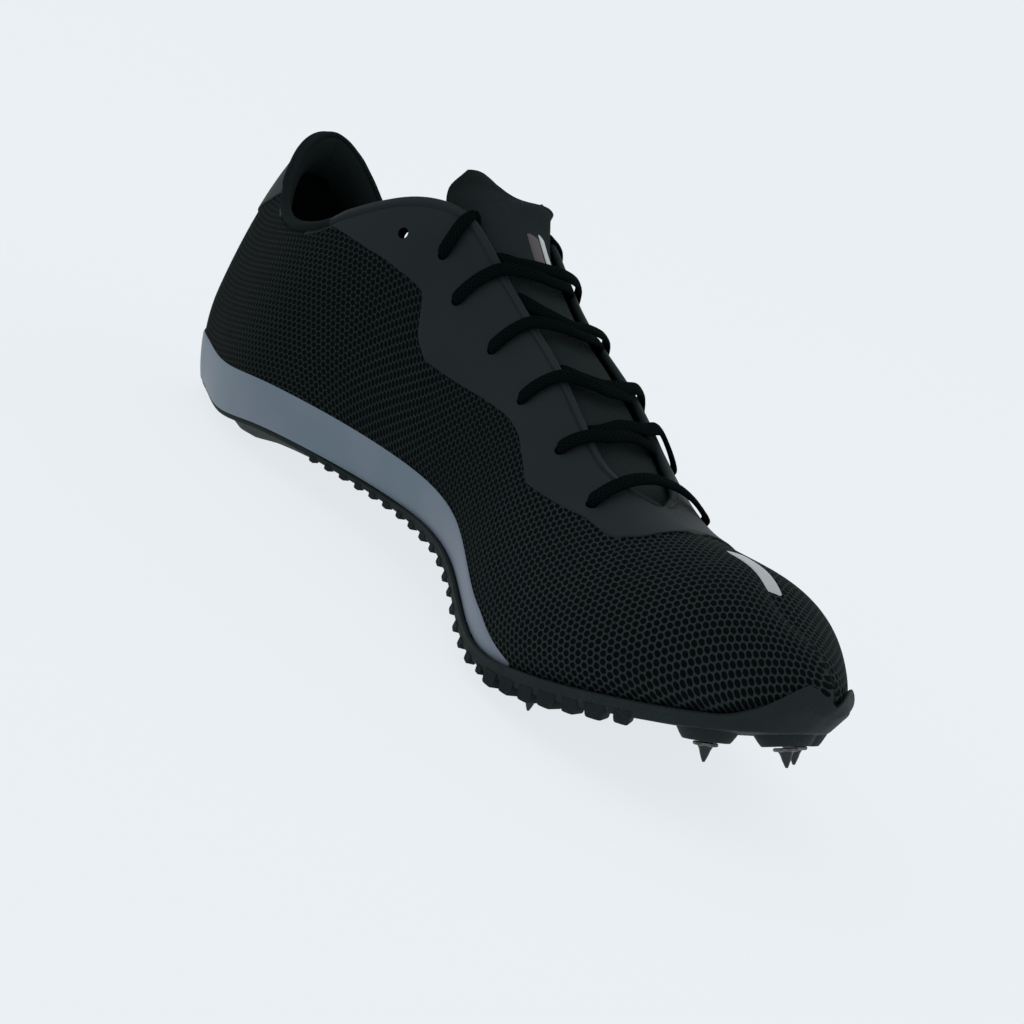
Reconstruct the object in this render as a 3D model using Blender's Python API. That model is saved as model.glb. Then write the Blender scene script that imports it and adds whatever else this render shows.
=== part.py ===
"""Track spike shoe, left foot, built on its last.

Metres. The toe points to +X, the wearer's left (the lateral side) to +Y, up is +Z, and the floor is z = 0.
The last's surface is a ring of meridians. Each one starts at the feather line, where the upper meets the
sole, and rises over the side to the crest line on top. A station numbers the meridians: 0 at the heel's
back, 12 at the toe's tip, counted up the medial side, and 24 minus the same number on the lateral side.
A share runs along a meridian from 0 at the feather to 1 at the crest.
"""

import math
from typing import NamedTuple

import bmesh
import bpy
import numpy as np
from mathutils import Matrix, Vector

# Driving sizes of the last
LENGTH = 0.279
BALL_WIDTH = 0.092
HEEL_HEIGHT = 0.105
INSTEP_HEIGHT = 0.117
TOE_SPRING = 0.0335
HEEL_SEAT = 0.0055
FEATHER_TUCK = 0.0060

# Upper
WALL = 0.0016
COLLAR_PAD = 0.0016
COLLAR_PAD_DEPTH = 0.15
COLLAR_PAD_END = 5.5
COLLAR_PAD_FADE = 0.8
OVERLAY_STEP = 0.0006
OVERLAY_LEAST = 0.07
STEP_RUN = 0.004
BAND_HEIGHT = 0.0150
EYELET_RADIUS = 0.0017
COLUMN_STEP = 0.25

# Sole
GAP = 0.0003
RAND_WALL = 0.0013
PLATE_THICKNESS = 0.0042
LUG_LENGTH = 0.0042
LUG_PITCH = 0.0066
LUG_WIDTH = 0.0042
LUG_DEPTH = 0.0030
LUG_SINK = 0.0015
LUG_PROUD = 0.0002
LUG_START = 8.60
LUG_END = 10.25
RIB_LENGTH = 0.0024
RIB_PITCH = 0.0068
RIB_WIDTH = 0.0025
RIB_SINK = 0.0008
RIB_DEPTH_REAR = 0.0010
RIB_DEPTH_FRONT = 0.0018
RIB_START = 4.9
RIB_END = 8.45
POD_DEPTH = 0.0026
POD_SINK = 0.0009
POD_ROOT_RADIUS = 0.0080
POD_FACE_RADIUS = 0.0056

# Spikes
SPIKE_LENGTH = 0.0038
SPIKE_RADIUS = 0.0014
SPIKE_TIP_RADIUS = 0.0005
SPIKE_ROOT_RADIUS = 0.00175
SPIKE_ROOT_HEIGHT = 0.0008
FLANGE_RADIUS = 0.0031
FLANGE_TOP_RADIUS = 0.0026
FLANGE_THICKNESS = 0.0010

# Insole, tongue and lace
INSOLE_THICKNESS = 0.0030
TONGUE_THICKNESS = 0.0030
TONGUE_THINNING = 0.6
TONGUE_ACROSS = 9
LACE_WIDTH = 0.0030
LACE_THICKNESS = 0.0013
LACE_CLEARANCE = 0.0004
LACE_PAST_EDGE = 0.07
LACE_BOW = 0.0012
LACE_RUN = 0.75
LACE_POINTS = 9
LACE_SIDES = 6


class Section(NamedTuple):
    """One meridian pair of the last, all lengths as shares of the named sizes."""

    along: float         # feather point from mid-length, share of LENGTH
    medial: float        # feather half widths, shares of BALL_WIDTH
    lateral: float
    rise: float          # feather height over the heel seat, share of TOE_SPRING
    tuck: float          # rounding in at the feather, share of FEATHER_TUCK
    fullness: float      # exponent of the meridian's curve, 2 is an ellipse
    crest_along: float   # crest point from mid-length, share of LENGTH
    crest_side: float    # towards the lateral side, share of BALL_WIDTH
    crest_height: float  # share of HEEL_HEIGHT at the back, of INSTEP_HEIGHT at the front


BACK_SECTIONS = (
    Section(-0.500, 0.000, 0.000, 0.00, 1.00, 2.50, -0.403, 0.020, 1.040),
    Section(-0.479, 0.184, 0.188, 0.00, 1.00, 2.50, -0.395, 0.020, 1.010),
    Section(-0.429, 0.265, 0.295, 0.00, 1.00, 2.50, -0.382, 0.020, 1.000),
    Section(-0.357, 0.336, 0.348, 0.01, 0.90, 2.50, -0.348, 0.000, 1.030),
    Section(-0.268, 0.375, 0.348, 0.16, 1.00, 2.50, -0.283, -0.010, 1.080),
)
FRONT_SECTIONS = (
    Section(-0.161, 0.309, 0.337, 0.26, 1.00, 2.40, -0.176, 0.000, 1.000),
    Section(-0.043, 0.270, 0.368, 0.34, 0.90, 2.10, -0.056, -0.007, 0.810),
    Section(0.072, 0.320, 0.436, 0.31, 0.75, 1.95, 0.062, -0.027, 0.683),
    Section(0.181, 0.451, 0.489, 0.09, 0.67, 1.95, 0.173, -0.061, 0.544),
    Section(0.281, 0.508, 0.475, 0.21, 0.67, 2.00, 0.261, -0.098, 0.488),
    Section(0.373, 0.463, 0.397, 0.47, 0.67, 2.10, 0.347, -0.110, 0.505),
    Section(0.450, 0.312, 0.170, 0.74, 0.58, 2.32, 0.390, -0.120, 0.483),
    Section(0.500, 0.117, -0.117, 1.00, 0.50, 2.11, 0.420, -0.123, 0.453),
)
TOE = len(BACK_SECTIONS) + len(FRONT_SECTIONS) - 1
TURN = 2 * TOE

# Edge of the opening: station and share of the meridian
TOPLINE = (
    (0.0, 0.622), (0.5, 0.617), (1.0, 0.595), (1.5, 0.543), (2.0, 0.470), (2.5, 0.408), (3.0, 0.380),
    (3.4, 0.376), (3.8, 0.388), (4.4, 0.468), (5.0, 0.562), (5.3, 0.625), (5.8, 0.672), (6.2, 0.700),
    (6.8, 0.712), (7.3, 0.728), (8.0, 0.780), (8.4, 0.860), (8.75, 1.000), (12.0, 1.000),
)

# Lower edge of the overlays, heel patch first and then the eyestay: station and share of the meridian
OVERLAY_EDGE = (
    (0.0, 0.323), (1.0, 0.330), (1.7, 0.390), (2.2, 0.445), (2.6, 0.445), (3.6, 0.445), (3.9, 0.395),
    (4.25, 0.373), (4.6, 0.356), (5.0, 0.358), (5.35, 0.380), (5.5, 0.305), (5.7, 0.292), (6.0, 0.330),
    (6.5, 0.394), (6.9, 0.443), (7.15, 0.458), (7.6, 0.437), (8.0, 0.520), (8.45, 0.608), (8.85, 0.630),
    (9.1, 0.720), (9.3, 1.000), (12.0, 1.000),
)

# Foxing band along the foot of the upper: station and share of BAND_HEIGHT
BAND_EDGE = ((0.0, 1.0), (3.0, 1.0), (5.0, 0.9), (7.0, 0.75), (8.5, 0.55), (12.0, 0.55))
BAND_END = 8.4
BUMPER_START = 11.2

# Eyelets from the toe up to the ankle: station and share of the meridian
EYELETS = (
    (8.36, 0.660), (7.64, 0.615), (6.92, 0.520), (6.28, 0.510), (5.68, 0.465), (5.32, 0.485), (4.85, 0.432),
)


class SoleRow(NamedTuple):
    """The sole at one station, thicknesses as shares of PLATE_THICKNESS."""

    station: float
    edge: float    # thickness at the outline
    middle: float  # thickness inside the outline
    rand: float    # height of the rand over the feather, m


SOLE_ROWS = (
    SoleRow(0.0, 0.40, 1.60, 0.0008),
    SoleRow(3.2, 0.40, 1.60, 0.0008),
    SoleRow(4.2, 0.42, 0.75, 0.0008),
    SoleRow(7.4, 0.50, 0.75, 0.0008),
    SoleRow(8.2, 0.70, 0.90, 0.0010),
    SoleRow(9.0, 0.85, 1.00, 0.0014),
    SoleRow(11.0, 0.85, 1.00, 0.0014),
    SoleRow(11.3, 0.95, 1.00, 0.0038),
    SoleRow(11.6, 1.12, 1.05, 0.0064),
    SoleRow(12.0, 1.25, 1.15, 0.0050),
)
SOLE_ACROSS = (0.10, 0.30, 0.65, 1.0)  # shares of the way from the outline to the middle line


class SpikeRow(NamedTuple):
    """One spike on the plate."""

    name: str
    along: float    # share of LENGTH from mid-length
    side: float     # share of BALL_WIDTH, towards the lateral side
    on_floor: bool  # the pair under the ball stands on the floor


SPIKES = (
    SpikeRow("spike_medial_rear", 0.258, -0.345, True),
    SpikeRow("spike_medial_middle", 0.420, -0.225, False),
    SpikeRow("spike_medial_front", 0.463, -0.085, False),
    SpikeRow("spike_lateral_rear", 0.245, 0.320, True),
    SpikeRow("spike_lateral_middle", 0.335, 0.235, False),
    SpikeRow("spike_lateral_front", 0.437, 0.087, False),
)


# The tongue under the throat: stations from its foot up, and the share of the meridian that its sides reach
TONGUE_UNDER = (
    (9.00, 0.800), (8.60, 0.720), (8.10, 0.640), (7.50, 0.600), (6.90, 0.560), (6.30, 0.540), (5.90, 0.540),
    (5.55, 0.560),
)


# The tongue's free end above the topline, each row from the medial edge to the lateral edge: place along as a
# share of LENGTH from mid-length, place across as a share of BALL_WIDTH, height as a share of INSTEP_HEIGHT
TONGUE_FREE = (
    ((-0.136, -0.150, 0.800), (-0.1315, -0.085, 0.882), (-0.130, 0.0, 0.912), (-0.130, 0.100, 0.905),
     (-0.134, 0.178, 0.805)),
    ((-0.180, -0.165, 0.835), (-0.150, -0.098, 0.905), (-0.144, 0.0, 0.910), (-0.143, 0.100, 0.902),
     (-0.140, 0.195, 0.893)),
    ((-0.154, -0.180, 0.925), (-0.1515, -0.080, 0.930), (-0.150, 0.0, 0.915), (-0.1505, 0.085, 0.908),
     (-0.152, 0.178, 0.922)),
)

# Colours as linear RGB, with roughness and metallic
CHARCOAL_MESH = ((0.030, 0.034, 0.038), 0.85, 0.0)
DARK_PLATE = ((0.035, 0.038, 0.042), 0.45, 0.0)
DARK_LINING = ((0.020, 0.022, 0.024), 0.90, 0.0)
TONGUE_CLOTH = ((0.040, 0.044, 0.048), 0.80, 0.0)
BLACK_LACE = ((0.012, 0.013, 0.014), 0.75, 0.0)
STEEL = ((0.420, 0.420, 0.410), 0.35, 1.0)


def section_row(section, half, height):
    """World sizes of one meridian, with the half width signed towards its own side."""
    return (
        section.along * LENGTH,
        half * BALL_WIDTH,
        HEEL_SEAT + section.rise * TOE_SPRING,
        section.tuck * FEATHER_TUCK,
        section.fullness,
        section.crest_along * LENGTH,
        section.crest_side * BALL_WIDTH,
        section.crest_height * height,
    )


def ring_rows():
    """All meridians in ring order, up the medial side and back down the lateral side."""
    both = [(row, HEEL_HEIGHT) for row in BACK_SECTIONS] + [(row, INSTEP_HEIGHT) for row in FRONT_SECTIONS]
    medial = [section_row(row, -row.medial, height) for row, height in both]
    lateral = [section_row(row, row.lateral, height) for row, height in both]
    return np.array(medial + lateral[-2:0:-1])


def ring_tangents(rows):
    """Slopes that make the cubic through the closed ring of rows smooth to its second derivative."""
    count = len(rows)
    system = 4 * np.eye(count) + np.roll(np.eye(count), 1, 0) + np.roll(np.eye(count), -1, 0)
    return np.linalg.solve(system, 3 * (np.roll(rows, -1, 0) - np.roll(rows, 1, 0)))


RING = ring_rows()
RING_SLOPES = ring_tangents(RING)


def read_ring(station):
    """Meridian sizes at any station, on the cubic through the rows."""
    station = np.asarray(station, float)
    lower = np.floor(station).astype(int)
    t = (station - lower)[..., None]
    start, end = RING[lower % TURN], RING[(lower + 1) % TURN]
    leave, arrive = RING_SLOPES[lower % TURN], RING_SLOPES[(lower + 1) % TURN]
    return (start * (1 + 2 * t) * (1 - t) ** 2 + leave * t * (1 - t) ** 2
            + end * t ** 2 * (3 - 2 * t) + arrive * t ** 2 * (t - 1))


def from_toe(station):
    """The station on either side as its number between 0 at the heel and TOE at the toe."""
    station = np.mod(station, TURN)
    return np.minimum(station, TURN - station)


def read_table(table, station):
    """A two-column table read at a station of either side."""
    stations, values = zip(*table)
    return np.interp(from_toe(station), stations, values)


def outward(station):
    """Unit vector in plan, square to the feather line and away from the foot."""
    step = 1e-3
    along = read_ring(station + step)[..., :2] - read_ring(station - step)[..., :2]
    along = along / np.linalg.norm(along, axis=-1, keepdims=True)
    return np.stack([along[..., 1], -along[..., 0]], -1)


def form(station, share):
    """Point of the last: a superellipse from the feather to the crest, rounded in at its foot."""
    station, share = np.broadcast_arrays(np.asarray(station, float), np.asarray(share, float))
    row = read_ring(station)
    power = 2 / row[..., 4]
    angle = share * math.pi / 2
    height = np.abs(np.sin(angle)) ** power
    inward = 1 - np.abs(np.cos(angle)) ** power
    tucked = row[..., 3] * np.clip(1 - height / 0.3, 0, None) ** 2
    foot = row[..., :2] - outward(station) * tucked[..., None]
    plan = foot + (row[..., 5:7] - row[..., :2]) * inward[..., None]
    rise = row[..., 2] + (row[..., 7] - row[..., 2]) * height
    return np.concatenate([plan, rise[..., None]], -1)


def share_at_height(station, height):
    """Share of the meridian that lies a given height over the feather."""
    row = read_ring(station)
    level = np.clip(height / (row[..., 7] - row[..., 2]), 0, 1)
    return np.arcsin(level ** (row[..., 4] / 2)) * 2 / math.pi


def form_normal(station, share):
    """Unit normal of the last, away from the foot, at points below the crest."""
    step = 1e-3
    around = form(station + step, share) - form(station - step, share)
    up = form(station, share + step) - form(station, np.maximum(share - step, 0))
    normal = np.cross(around, up)
    return normal / np.linalg.norm(normal, axis=-1, keepdims=True)


def make_material(name, finish):
    """Principled material of one colour."""
    colour, roughness, metallic = finish
    material = bpy.data.materials.new(name)
    material.use_nodes = True
    shader = material.node_tree.nodes["Principled BSDF"]
    shader.inputs["Base Color"].default_value = (*colour, 1.0)
    shader.inputs["Roughness"].default_value = roughness
    shader.inputs["Metallic"].default_value = metallic
    return material


def add_object(name, mesh, finish=None):
    """Link a mesh under a name, with its own material if it is a piece of the shoe."""
    piece = bpy.data.objects.new(name, mesh)
    bpy.context.collection.objects.link(piece)
    if finish:
        if not mesh.materials:
            mesh.materials.append(make_material(name, finish))
        mesh.shade_smooth()
        mesh.set_sharp_from_angle(angle=math.radians(40))
    return piece


def mesh_from(name, points, faces):
    """Closed mesh with its faces pointing out."""
    mesh = bpy.data.meshes.new(name)
    mesh.from_pydata([tuple(point) for point in points], [], [tuple(face) for face in faces])
    body = bmesh.new()
    body.from_mesh(mesh)
    bmesh.ops.recalc_face_normals(body, faces=body.faces[:])
    body.to_mesh(mesh)
    body.free()
    return mesh


def add_boolean(piece, cutter, operation):
    """Join or cut a piece with a hidden cutter."""
    modifier = piece.modifiers.new(operation.title(), "BOOLEAN")
    modifier.object = cutter
    modifier.operation = operation
    modifier.solver = "EXACT"
    cutter.hide_render = True
    cutter.display_type = "WIRE"


def vertex_normals(points, quads):
    """Area-weighted normals of a quad sheet, by its diagonals."""
    corners = points[quads]
    facing = np.cross(corners[:, 2] - corners[:, 0], corners[:, 3] - corners[:, 1])
    normals = np.zeros_like(points)
    for corner in range(4):
        np.add.at(normals, quads[:, corner], facing)
    return normals / np.maximum(np.linalg.norm(normals, axis=1, keepdims=True), 1e-12)


def ring_columns(step):
    """Stations round the whole ring, evenly spaced."""
    return np.arange(0, TURN, step)


def shell(name, columns, shares, raised, walls):
    """Solid wall on the last's surface, raised outside and with its own thickness inside.

    Columns whose last share is 1 are joined over the crest to their partners on the other side, the
    wall's edges are closed all round the openings, and its foot is trimmed level.
    """
    count, rows = shares.shape
    points = form(columns[:, None], shares).reshape(-1, 3)
    index = np.arange(count * rows).reshape(count, rows)
    for column in range(count // 2 + 1, count):
        if shares[column, -1] >= 1:
            index[column, -1] = index[count - column, -1]
    after = np.roll(index, -1, axis=0)
    quads = np.stack([index[:, :-1], after[:, :-1], after[:, 1:], index[:, 1:]], -1).reshape(-1, 4)
    normals = vertex_normals(points, quads)
    outside = points + normals * raised.reshape(-1, 1)
    inside = points - normals * walls.reshape(-1, 1)
    foot = index[:, 0]
    outside[foot, 2] = inside[foot, 2] = points[foot, 2]
    total = len(points)
    faces = quads.tolist() + (quads[:, ::-1] + total).tolist()
    edges = {}
    for quad in quads.tolist():
        for start, end in zip(quad, quad[1:] + quad[:1]):
            edges[frozenset((start, end))] = None if frozenset((start, end)) in edges else (start, end)
    for edge in edges.values():
        if edge:
            start, end = edge
            faces.append((end, start, start + total, end + total))
    used = sorted({corner for face in faces for corner in face})
    place = {corner: number for number, corner in enumerate(used)}
    both = np.concatenate([outside, inside])[used]
    return mesh_from(name, both, [[place[corner] for corner in face] for face in faces])


def row_shares(columns):
    """Shares of the upper's rows, and which rows carry the band and the overlays.

    Each step in the wall runs between two rows that lie close together, so that it follows the edge's
    own line and not the grid.
    """
    top = read_table(TOPLINE, columns)
    overlay = read_table(OVERLAY_EDGE, columns)
    has_overlay = overlay < top - 4 * STEP_RUN
    overlay = np.minimum(overlay, top - OVERLAY_LEAST)
    band = share_at_height(columns, BAND_HEIGHT * read_table(BAND_EDGE, columns))
    has_band = from_toe(columns) <= BAND_END
    spans = (
        (np.zeros_like(top), band - STEP_RUN, (0, 0.5, 1)),
        (band + STEP_RUN, overlay - STEP_RUN, (0, 0.33, 0.67, 1)),
        (overlay + STEP_RUN, top, (0, 0.33, 0.67, 1)),
    )
    shares = [low + (high - low) * part for low, high, parts in spans for part in parts]
    raised = np.zeros((len(columns), len(shares)))
    band_rows = len(spans[0][2])
    overlay_rows = len(spans[2][2])
    raised[:, :band_rows] = np.where(has_band, OVERLAY_STEP, 0)[:, None]
    raised[:, -overlay_rows:] = np.where(has_overlay, OVERLAY_STEP, 0)[:, None]
    return np.stack(shares, 1), raised


def wall_thickness(columns, shares):
    """Thickness of the upper's wall, padded along the collar and thin again at its edge."""
    top = read_table(TOPLINE, columns)
    at_collar = np.clip((COLLAR_PAD_END - from_toe(columns)) / COLLAR_PAD_FADE, 0, 1)
    near_edge = np.clip(1 - (top - shares) / COLLAR_PAD_DEPTH, 0, 1)
    return WALL + COLLAR_PAD * at_collar * np.sin(near_edge * math.pi) ** 0.5


def eyelet_cutters():
    """One mesh of short rods that stand square to the eyestay, a rod for each eyelet."""
    reach = 0.006
    body = bmesh.new()
    for number, share in EYELETS:
        for station in (number, TURN - number):
            place = Vector(form(station, share))
            normal = Vector(form_normal(station, share))
            turn = normal.to_track_quat("Z", "Y").to_matrix().to_4x4()
            bmesh.ops.create_cone(
                body, cap_ends=True, segments=8, radius1=EYELET_RADIUS, radius2=EYELET_RADIUS,
                depth=2 * reach, matrix=Matrix.Translation(place) @ turn,
            )
    mesh = bpy.data.meshes.new("eyelet_cutters")
    body.to_mesh(mesh)
    body.free()
    return add_object("eyelet_cutters", mesh)


def build_upper():
    """The hollow upper with its band, heel patch and eyestay as steps in the wall."""
    columns = ring_columns(COLUMN_STEP)
    shares, raised = row_shares(columns)
    walls = wall_thickness(columns[:, None], shares)
    upper = add_object("upper", shell("upper", columns, shares, raised, walls), CHARCOAL_MESH)
    add_boolean(upper, eyelet_cutters(), "DIFFERENCE")
    return upper


def sole_value(column, station):
    """One column of the sole's table, read at a station of either side."""
    stations = [row.station for row in SOLE_ROWS]
    return np.interp(from_toe(station), stations, [getattr(row, column) for row in SOLE_ROWS])


def rand_gap(station):
    """Distance from the last to the rand's inner face, wider over the band and over the tight toe."""
    number = from_toe(station)
    ease = np.where(number <= BAND_END + COLUMN_STEP, OVERLAY_STEP, np.where(number > BUMPER_START, 2 * GAP, GAP))
    return (GAP + ease)[..., None]


def sole_outline(station):
    """Outline of the sole in plan: the feather, moved out by the rand and its gap."""
    return form(station, 0)[..., :2] + outward(station) * (rand_gap(station) + RAND_WALL)


def floor_level(station, across, plan):
    """Height of the upper's floor: the feather's own height at the side, and by distance along within."""
    stations = np.linspace(0, TOE, 241)
    spine = read_ring(stations)
    feather = form(station, 0)
    level = np.interp(plan[..., 0], spine[:, 0], spine[:, 2])
    at_feather = np.interp(feather[..., 0], spine[:, 0], spine[:, 2])
    return level + (feather[..., 2] - at_feather) * (1 - across)


def floor_point(station, across, height):
    """Points over the sole at a share of the way from the feather to the middle line."""
    feather = form(station, 0)[..., :2]
    across = np.broadcast_to(across, feather.shape[:-1])
    plan = feather + (read_ring(station)[..., 5:7] - feather) * across[..., None]
    level = floor_level(station, across, plan) + height
    return np.concatenate([plan, level[..., None]], -1)


def sole_bottom(station, across):
    """Underside of the sole, parallel to the upper's floor and ground flat where it would pass the ground."""
    outline = sole_outline(station)
    across = np.broadcast_to(across, outline.shape[:-1])
    plan = outline + (read_ring(station)[..., 5:7] - outline) * across[..., None]
    blend = np.clip(across / SOLE_ACROSS[1], 0, 1)
    thickness = PLATE_THICKNESS * (sole_value("edge", station) * (1 - blend) + sole_value("middle", station) * blend)
    height = np.maximum(floor_level(station, across, plan) - GAP - thickness, 0)
    return np.concatenate([plan, height[..., None]], -1)


def lug_block(body, station, length, width, depth, sink):
    """One block under the sole's edge, square to the outline there."""
    out = Vector((*outward(station), 0))
    edge = Vector(sole_bottom(station, 0.0))
    step = 1e-2
    ahead = (Vector(sole_bottom(station + step, 0.0)) - Vector(sole_bottom(station - step, 0.0))).normalized()
    up = out.cross(ahead).normalized()
    if up.z < 0:
        up = -up
    centre = edge - out * (width / 2 - LUG_PROUD) + up * (sink - depth) / 2
    frame = Matrix((ahead, out, up)).transposed().to_4x4()
    size = Matrix.Diagonal((length, width, depth + sink, 1))
    bmesh.ops.create_cube(body, size=1, matrix=Matrix.Translation(centre) @ frame @ size)


def stations_by_pitch(start, end, pitch):
    """Stations between two others that lie one pitch apart along the sole's outline."""
    fine = np.linspace(start, end, 400)
    steps = np.linalg.norm(np.diff(sole_outline(fine), axis=0), axis=1)
    run = np.concatenate([[0], np.cumsum(steps)])
    count = int(run[-1] / pitch)
    return np.interp(np.arange(count + 1) * pitch, run, fine)


def add_lugs(sole):
    """Side lugs along the forefoot and smaller ribs along the waist, joined to the sole."""
    body = bmesh.new()
    for side in (1, -1):
        for station in stations_by_pitch(LUG_START, LUG_END, LUG_PITCH):
            lug_block(body, side * station, LUG_LENGTH, LUG_WIDTH, LUG_DEPTH, LUG_SINK)
        for station in stations_by_pitch(RIB_START, RIB_END, RIB_PITCH):
            depth = np.interp(station, (RIB_START, RIB_END), (RIB_DEPTH_REAR, RIB_DEPTH_FRONT))
            lug_block(body, side * station, RIB_LENGTH, RIB_WIDTH, depth, RIB_SINK)
    mesh = bpy.data.meshes.new("lug_blocks")
    body.to_mesh(mesh)
    body.free()
    add_boolean(sole, add_object("lug_blocks", mesh), "UNION")


def plate_frame(along, side):
    """Point of the sole's underside at a place in plan, with the underside's normal there."""
    rear = TOE / 2
    stations, across = np.meshgrid(
        np.linspace(rear, TURN - rear, 721), np.linspace(SOLE_ACROSS[1], 1, 36), indexing="ij",
    )
    points = sole_bottom(stations, across)
    far = np.hypot(points[..., 0] - along, points[..., 1] - side)
    row, column = np.unravel_index(np.argmin(far), far.shape)
    reach = 4
    row = np.clip(row, reach, far.shape[0] - 1 - reach)
    column = np.clip(column, 1, far.shape[1] - 2)
    ahead = points[row + reach, column] - points[row - reach, column]
    inward = points[row, column + 1] - points[row, column - 1]
    normal = Vector(np.cross(ahead, inward)).normalized()
    if normal.z > 0:
        normal = -normal
    nearest = Vector(points[row, column])
    height = nearest.z - (normal.x * (along - nearest.x) + normal.y * (side - nearest.y)) / normal.z
    return Vector((along, side, height)), normal


def spike_seats():
    """Where each spike's flange sits: its place, its direction and how deep its pod is."""
    seats = []
    for row in SPIKES:
        place, normal = plate_frame(row.along * LENGTH, row.side * BALL_WIDTH)
        reach = FLANGE_THICKNESS + SPIKE_LENGTH + GAP
        depth = POD_DEPTH
        if row.on_floor:
            tip_drop = SPIKE_TIP_RADIUS * math.sqrt(1 - normal.z ** 2)
            depth = (place.z - tip_drop) / -normal.z - reach
        seats.append((row.name, place, normal, depth))
    return seats


def add_pods(sole):
    """A round boss under the plate for each spike, joined to the sole."""
    body = bmesh.new()
    for _, place, normal, depth in spike_seats():
        turn = normal.to_track_quat("Z", "Y").to_matrix().to_4x4()
        centre = place + normal * (depth - POD_SINK) / 2
        bmesh.ops.create_cone(
            body, cap_ends=True, segments=20, radius1=POD_ROOT_RADIUS, radius2=POD_FACE_RADIUS,
            depth=depth + POD_SINK, matrix=Matrix.Translation(centre) @ turn,
        )
    mesh = bpy.data.meshes.new("pod_blocks")
    body.to_mesh(mesh)
    body.free()
    add_boolean(sole, add_object("pod_blocks", mesh), "UNION")


def close_ring(name, profiles):
    """Closed body from a profile at each station whose two ends lie on the shoe's middle line."""
    points = np.stack(profiles, 1)
    count, rows = points.shape[:2]
    index = np.arange(count * rows).reshape(count, rows)
    for column in range(count // 2 + 1, count):
        index[column, 0] = index[count - column, 0]
        index[column, -1] = index[count - column, -1]
    after = np.roll(index, -1, axis=0)
    quads = np.stack([index[:, :-1], after[:, :-1], after[:, 1:], index[:, 1:]], -1).reshape(-1, 4)
    used, faces = np.unique(quads, return_inverse=True)
    return mesh_from(name, points.reshape(-1, 3)[used], faces.reshape(-1, 4))


def build_sole():
    """The outsole: a plate that closes the upper from below, with the rand and toe bumper round its side."""
    columns = ring_columns(COLUMN_STEP)
    foot = form(columns, np.zeros_like(columns))
    out = np.concatenate([outward(columns), np.zeros((len(columns), 1))], 1)
    spoke = foot[:, :2] - read_ring(columns)[:, 5:7]
    spoke = spoke / np.sum(spoke * out[:, :2], axis=1, keepdims=True)
    rand_share = share_at_height(columns, sole_value("rand", columns))
    gap = rand_gap(columns)
    profiles = [floor_point(columns, 1.0, -GAP), floor_point(columns, 0.5, -GAP)]
    profiles.append(np.concatenate([foot[:, :2] + spoke * gap, foot[:, 2:] - GAP], 1))
    for part in (0.5, 1.0):
        share = rand_share * part
        profiles.append(form(columns, share) + form_normal(columns, share) * gap)
    for part in (1.0, 0.5):
        share = rand_share * part
        profiles.append(form(columns, share) + form_normal(columns, share) * (gap + RAND_WALL))
    profiles.append(sole_bottom(columns, 0.0))
    profiles.extend(sole_bottom(columns, across) for across in SOLE_ACROSS)
    sole = add_object("outsole", close_ring("outsole", profiles), DARK_PLATE)
    add_lugs(sole)
    add_pods(sole)
    return sole


def build_insole():
    """The insole: a sheet that fills the upper's floor and lies on the outsole."""
    columns = ring_columns(2 * COLUMN_STEP)
    row = read_ring(columns)
    foot = form(columns, np.zeros_like(columns))[:, :2]
    inset = (WALL + 3 * GAP) / np.linalg.norm(row[:, 5:7] - foot, axis=1)
    bottom, top = 2 * GAP, INSOLE_THICKNESS
    profiles = [floor_point(columns, across, bottom) for across in (1.0, 0.5, inset)]
    profiles += [floor_point(columns, across, top) for across in (inset, 0.5, 1.0)]
    return add_object("insole", close_ring("insole", profiles), DARK_LINING)


def tongue_under_rows(across):
    """Rows of the tongue under the throat, on the last's surface before they are sunk under the wall."""
    rows, sunk = [], []
    for number, side_share in TONGUE_UNDER:
        share = 1 - (1 - side_share) * np.abs(across)
        station = np.where(across < 0, number, TURN - number)
        rows.append(form(station, share))
        sunk.append(wall_thickness(station, share) + 3 * GAP)
    return rows, sunk


def tongue_free_rows(across):
    """Rows of the tongue's free end: the quartic through each row's five points."""
    rows = []
    for row in TONGUE_FREE:
        order = len(row) - 1
        curve = np.polyfit(np.linspace(-1, 1, len(row)), np.array(row), order)
        powers = across[:, None] ** np.arange(order, -1, -1)
        rows.append(powers @ curve * (LENGTH, BALL_WIDTH, INSTEP_HEIGHT))
    return rows


def build_tongue():
    """The tongue: a padded sheet that lies under the eyestay and rises out of the throat."""
    across = np.linspace(-1, 1, TONGUE_ACROSS)
    under_rows, sunk = tongue_under_rows(across)
    free_rows = tongue_free_rows(across)
    base = np.stack(under_rows + free_rows)
    depth = np.stack(sunk + [np.zeros(TONGUE_ACROSS)] * len(free_rows))
    count, width = base.shape[:2]
    index = np.arange(count * width).reshape(count, width)
    quads = np.stack([index[:-1, :-1], index[1:, :-1], index[1:, 1:], index[:-1, 1:]], -1).reshape(-1, 4)
    normals = vertex_normals(base.reshape(-1, 3), quads)
    if normals[:, 2].mean() < 0:
        normals = -normals
    top = base.reshape(-1, 3) - normals * depth.reshape(-1, 1)
    thinned = TONGUE_THICKNESS * (1 - TONGUE_THINNING * np.tile(across, count) ** 4)
    bottom = top - normals * thinned[:, None]
    total = len(top)
    faces = quads.tolist() + (quads[:, ::-1] + total).tolist()
    rim = index[0, :].tolist() + index[1:, -1].tolist() + index[-1, -2::-1].tolist() + index[-2:0:-1, 0].tolist()
    for start, end in zip(rim, rim[1:] + rim[:1]):
        faces.append((start, end, end + total, start + total))
    return add_object("tongue", mesh_from("tongue", np.concatenate([top, bottom]), faces), TONGUE_CLOTH)


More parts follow.
